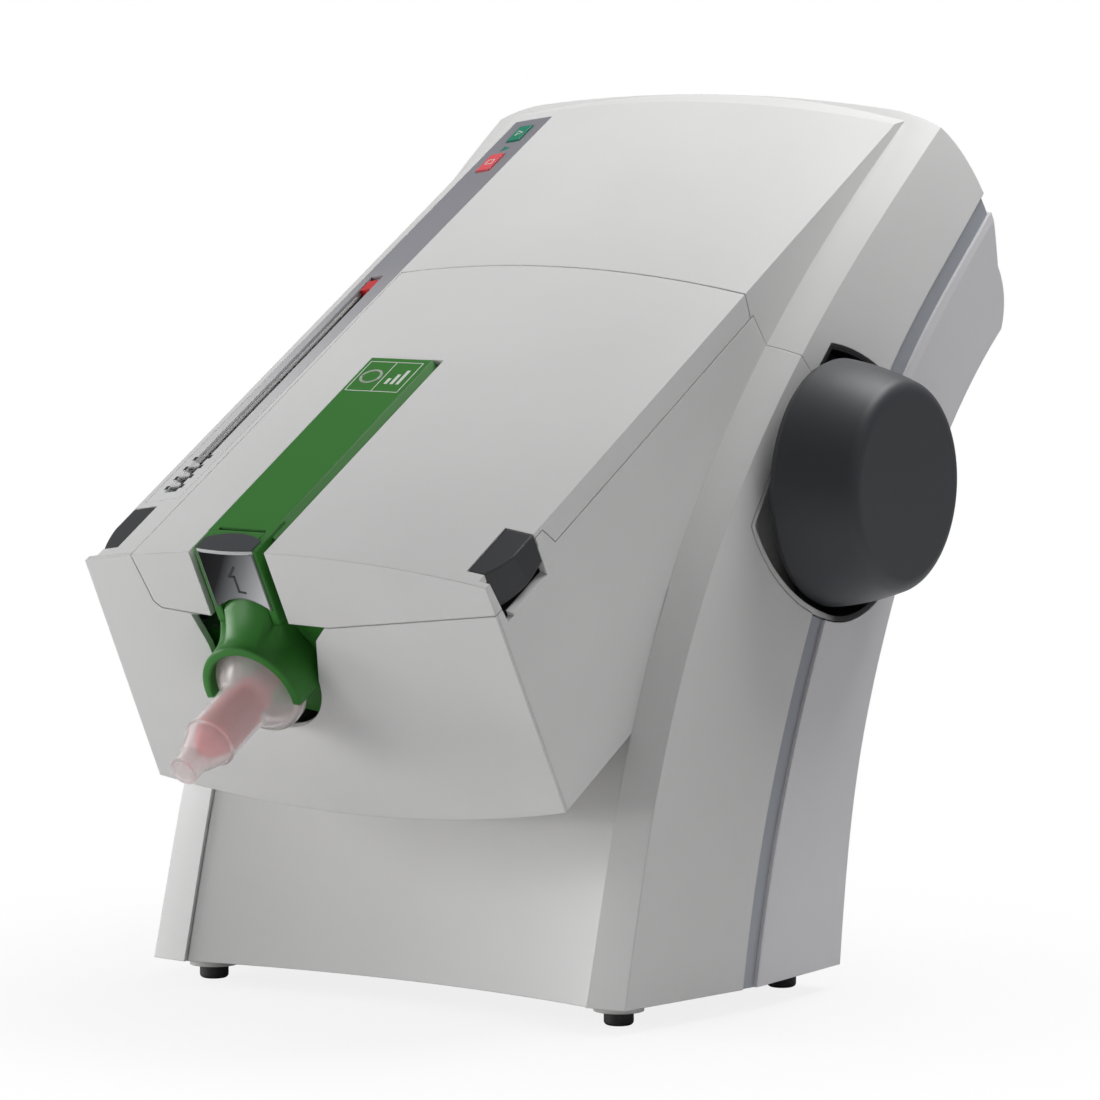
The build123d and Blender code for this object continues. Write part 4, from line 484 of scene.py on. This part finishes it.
def make_collar():
    """The green hood round the tip's root: a ring open at its bottom that flares up into the two rails."""
    first, last = math.radians(-6), math.radians(186)
    steps, along = 264, 22
    flare_start_s = hood_front_s + rim_length
    section_count = 0
    vertices = []
    for step in range(steps + 1):
        angle = first + (last - first) * step / steps
        root = neck_reach(angle)
        section = []
        for place in range(along + 1):
            share = place / along
            s = hood_front_s + (hood_rear_s - hood_front_s) * share
            flare = min(1.0, max(0.0, (s - flare_start_s) / (neck_front_s - flare_start_s))) ** flare_power
            radius = hood_radius + (root - hood_radius) * flare
            if place == 0:
                section += [(radius - rim_round, s), (radius - 0.25, s + 0.25)]
                s += rim_round
            section.append((radius, s))
        section += [(bore_radius, hood_rear_s), (bore_radius, bore_depth_s),
                    (hood_inner_radius + step_width, bore_depth_s), (hood_inner_radius + step_width, -3.2),
                    (hood_inner_radius, -4.0), (hood_inner_radius - 0.6, hood_front_s + 0.4),
                    (hood_inner_radius - 0.2, hood_front_s)]
        section_count = len(section)
        vertices += [tip_point(radius * MM, angle, s * MM) for radius, s in section]
    faces = grid_faces(steps + 1, section_count)
    faces += [tuple(range(section_count)), tuple(steps * section_count + c for c in range(section_count))[::-1]]
    collar = add_mesh("collar_hood", vertices, faces, slot_materials["green_plastic"])
    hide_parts("cartridge_collar")
    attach(collar, "housing")


# ---------------------------------------------------------------- latch
def make_latch():
    """The latch's lens-shaped cap with a bright front edge, its face with a painted sheen and the arrow on it."""
    left, right_side, top, low, arc = -36.4, -10.2, 8.4, -17.7, -12.9
    middle = (left + right_side) / 2
    half = (right_side - left) / 2
    steps = 24
    front_s, front_bow, rear_s, rear_bow, lip_width = -0.2, 0.9, 6.6, 3.9, 0.9
    foot_rise, inner_share = 0.15, 0.955
    sweep = [left + (right_side - left) * step / steps for step in range(steps + 1)]
    bow = [1 - ((x - middle) / half) ** 2 for x in sweep]
    front = [(x, front_s - front_bow * rise) for x, rise in zip(sweep, bow)]
    rear = [(x, rear_s + rear_bow * rise) for x, rise in zip(sweep, bow)]
    cap = front + rear[::-1]
    slabs("latch_cap", [cap], 9.66, 10.2, head_point, slot_materials["latch_dark"], "latch_body")
    lip = front + [(x, s + lip_width) for x, s in front[::-1]]
    slabs("latch_edge", [lip], 8.1, 9.64, head_point, latch_silver, "latch_body")
    foot = [(x, arc + (low - arc) * (1 - rise) + foot_rise) for x, rise in zip(sweep, bow)]
    face = [(left, top), (right_side, top)] + foot[::-1]
    slabs("latch_rim", [face], -0.42, -0.12, on_front, latch_rim_grey, "latch_body")
    inner = [(middle + (x - middle) * inner_share, w + (0.7 if index > 1 else -0.5))
             for index, (x, w) in enumerate(face)]
    # The face's sheen is painted into its colour.
    slabs("latch_face", [inner], -0.60, -0.40, on_front, latch_painted_sheen, "latch_body")
    arrow = [(-19.8, -9.6), (-22.6, -9.2), (-22.6, -2.4), (-24.9, -2.4), (-21.4, 1.9)]
    slabs("latch_arrow", strokes(arrow, 0.95), -0.72, -0.56, on_front, print_dark, "latch_body")


# ---------------------------------------------------------------- marks on the spine, the strip and the keys
def make_marks():
    """A plain two-field panel on the spine, notches and a sign on the strip, and a sign on each key."""
    spine_top = 9.6
    mark_low, mark_high = -0.1, 0.06
    key_mark_low, key_mark_high = 0.55, 0.68
    frame_width, ring_width, key_width = 0.4, 1.1, 0.35
    panel_left, panel_right, panel_front, panel_rear = -37.0, -12.0, 112.0, 133.0
    divider = (panel_left + panel_right) / 2
    frame_lines = strokes([(panel_left, panel_front), (panel_right, panel_front), (panel_right, panel_rear),
                           (panel_left, panel_rear)], frame_width, True)
    frame_lines += strokes([(divider, panel_front), (divider, panel_rear)], frame_width)
    ring = ring_points(-30.8, 122.5, 4.3, 28)
    bar_front, bar_width = 117.5, 1.5
    bars = [[(x, bar_front), (x + bar_width, bar_front), (x + bar_width, end), (x, end)]
            for x, end in ((-21.8, 121.6), (-19.0, 124.6), (-16.2, 127.6))]
    slabs("spine_panel", frame_lines + strokes(ring, ring_width) + bars, spine_top + mark_low,
          spine_top + mark_high, head_point, print_white, "housing")
    slot_left, slot_right, first_gap, gap_pitch, gap_length, gap_count = -86.0, -79.4, 48.4, 7.0, 2.6, 4
    notch_reach, notch_overlap = 1.4, 0.1
    notches = []
    for low, high in ((slot_left - notch_reach, slot_left + notch_overlap),
                      (slot_right - notch_overlap, slot_right + notch_reach)):
        for gap in range(gap_count):
            s = first_gap + gap_pitch * gap
            notches.append([(low, s), (high, s), (high, s + gap_length), (low, s + gap_length)])
    slabs("strip_scale", notches, mark_low, mark_high, on_crown, print_dark, "housing")
    sign = [(-81.4, 306.8), (-77.2, 308.9), (-81.4, 311.0)]
    slabs("strip_sign", [sign], mark_low, mark_high, on_crown, slot_materials["key_green"], "housing")
    start_sign = strokes([(-80.6, 319.0), (-80.6, 322.6), (-77.6, 320.8)], key_width, True)
    slabs("start_sign", start_sign, key_mark_low, key_mark_high, on_crown, print_white, "start_key_body")
    stop_sign = strokes([(-82.0, 295.4), (-78.8, 295.4), (-78.8, 298.8), (-82.0, 298.8)], key_width, True)
    slabs("stop_sign", stop_sign, key_mark_low, key_mark_high, on_crown, print_white, "stop_key_body")


make_mixing_tip()
make_rotor()
make_collar()
make_latch()
make_marks()


# ---------------------------------------------------------------- stage, lights and camera
def area_light(name, place, target, size, power):
    """A soft box that faces a target."""
    data = bpy.data.lights.new(name, "AREA")
    data.shape = "RECTANGLE"
    data.size, data.size_y = size
    data.energy = power
    lamp = bpy.data.objects.new(name, data)
    bpy.context.scene.collection.objects.link(lamp)
    lamp.location = place
    lamp.rotation_euler = (Vector(target) - Vector(place)).to_track_quat("-Z", "Y").to_euler()


floor_half = 6
shadow_radius, white_radius = 0.10, 0.34
near_glow, far_glow = 0.84, 1.0
ambient_strength = 0.15
gloss_share = 0.15


def make_stage():
    """A pale floor with a faint shadow, which fades to white away from the object, and a white surround.

    The floor glows and the surround is white only for rays from the camera or through clear plastic. Other rays
    meet a plain floor and a dim surround, and glossy ones see a share of the white.
    """
    mesh = bpy.data.meshes.new("floor")
    corners = [(-floor_half, -floor_half, 0), (floor_half, -floor_half, 0), (floor_half, floor_half, 0),
               (-floor_half, floor_half, 0)]
    mesh.from_pydata(corners, [], [(0, 1, 2, 3)])
    floor = bpy.data.objects.new("floor", mesh)
    bpy.context.scene.collection.objects.link(floor)
    material, tree, shader, node = start_material("floor_white")
    shader.inputs["Base Color"].default_value = (0.93, 0.93, 0.93, 1)
    shader.inputs["Roughness"].default_value = 0.7
    shader.inputs["Specular IOR Level"].default_value = 0.1
    place = node("ShaderNodeTexCoord").outputs["Object"]
    away = node("ShaderNodeVectorMath", [(place, 0)], operation="LENGTH")
    fade = node("ShaderNodeMapRange", [(away.outputs["Value"], "Value")], interpolation_type="SMOOTHSTEP")
    fade.inputs["From Min"].default_value = shadow_radius
    fade.inputs["From Max"].default_value = white_radius
    fade.inputs["To Min"].default_value = near_glow
    fade.inputs["To Max"].default_value = far_glow
    path = node("ShaderNodeLightPath")
    seen = node("ShaderNodeMath", operation="MAXIMUM",
                links=[(path.outputs["Is Camera Ray"], 0), (path.outputs["Is Transmission Ray"], 1)])
    share = node("ShaderNodeMath", [(fade.outputs["Result"], 0), (seen.outputs[0], 1)],
                 operation="MULTIPLY")
    glow = node("ShaderNodeEmission")
    mix = node("ShaderNodeMixShader", [(share.outputs[0], 0), (shader.outputs[0], 1), (glow.outputs[0], 2)])
    tree.links.new(mix.outputs[0], tree.nodes["Material Output"].inputs["Surface"])
    mesh.materials.append(material)

    world = bpy.data.worlds.new("studio")
    bpy.context.scene.world = world
    world.use_nodes = True
    tree = world.node_tree
    tree.nodes.clear()
    node = node_adder(tree)
    ambient = node("ShaderNodeBackground")
    ambient.inputs["Color"].default_value = (0.98, 0.985, 1.0, 1)
    ambient.inputs["Strength"].default_value = ambient_strength
    white = node("ShaderNodeBackground")
    white.inputs["Color"].default_value = (1, 1, 1, 1)
    white.inputs["Strength"].default_value = 1.0
    path = node("ShaderNodeLightPath")
    faint = node("ShaderNodeMath", [(path.outputs["Is Glossy Ray"], 0)], operation="MULTIPLY")
    faint.inputs[1].default_value = gloss_share
    through = node("ShaderNodeMath", [(path.outputs["Is Transmission Ray"], 0), (faint.outputs[0], 1)],
                   operation="MAXIMUM")
    seen = node("ShaderNodeMath", [(path.outputs["Is Camera Ray"], 0), (through.outputs[0], 1)],
                operation="MAXIMUM")
    mix = node("ShaderNodeMixShader", [(seen.outputs[0], "Fac"), (ambient.outputs[0], 1),
                                       (white.outputs[0], 2)])
    node("ShaderNodeOutputWorld", [(mix.outputs[0], "Surface")])


make_stage()
bpy.context.scene.view_settings.view_transform = "Standard"
area_light("left_softbox", (-1.20, -0.48, 0.34), (0, -0.08, 0.14), (0.45, 0.55), 8.2)
area_light("top_softbox", (0.22, 0.40, 1.05), (0.03, 0.06, 0.28), (0.7, 0.5), 8.5)
area_light("low_front", (-0.70, -1.05, 0.12), (-0.05, -0.1, 0.14), (0.5, 0.25), 2.4)
area_light("right_fill", (1.4, -0.1, 0.7), (0, 0, 0.17), (0.7, 0.7), 0.4)

view_azimuth = math.radians(33.75)
view_elevation = math.radians(5.61)
# The lens is measured in pixels, for a frame that is 1100 pixels wide.
lens_per_frame = 5936.7 / 1100.0
sensor_width = 36.0
camera_right, camera_back, camera_height = 1.3251, 1.8, 0.4040
camera_data = bpy.data.cameras.new("camera")
camera_data.sensor_width = sensor_width
camera_data.lens = lens_per_frame * sensor_width
camera = bpy.data.objects.new("camera", camera_data)
bpy.context.scene.collection.objects.link(camera)
camera.location = (middle_x + camera_right, head_origin.y - camera_back, camera_height)
looking = Vector((-math.sin(view_azimuth) * math.cos(view_elevation),
                  math.cos(view_azimuth) * math.cos(view_elevation), -math.sin(view_elevation)))
camera.rotation_euler = looking.to_track_quat("-Z", "Y").to_euler()
bpy.context.scene.camera = camera
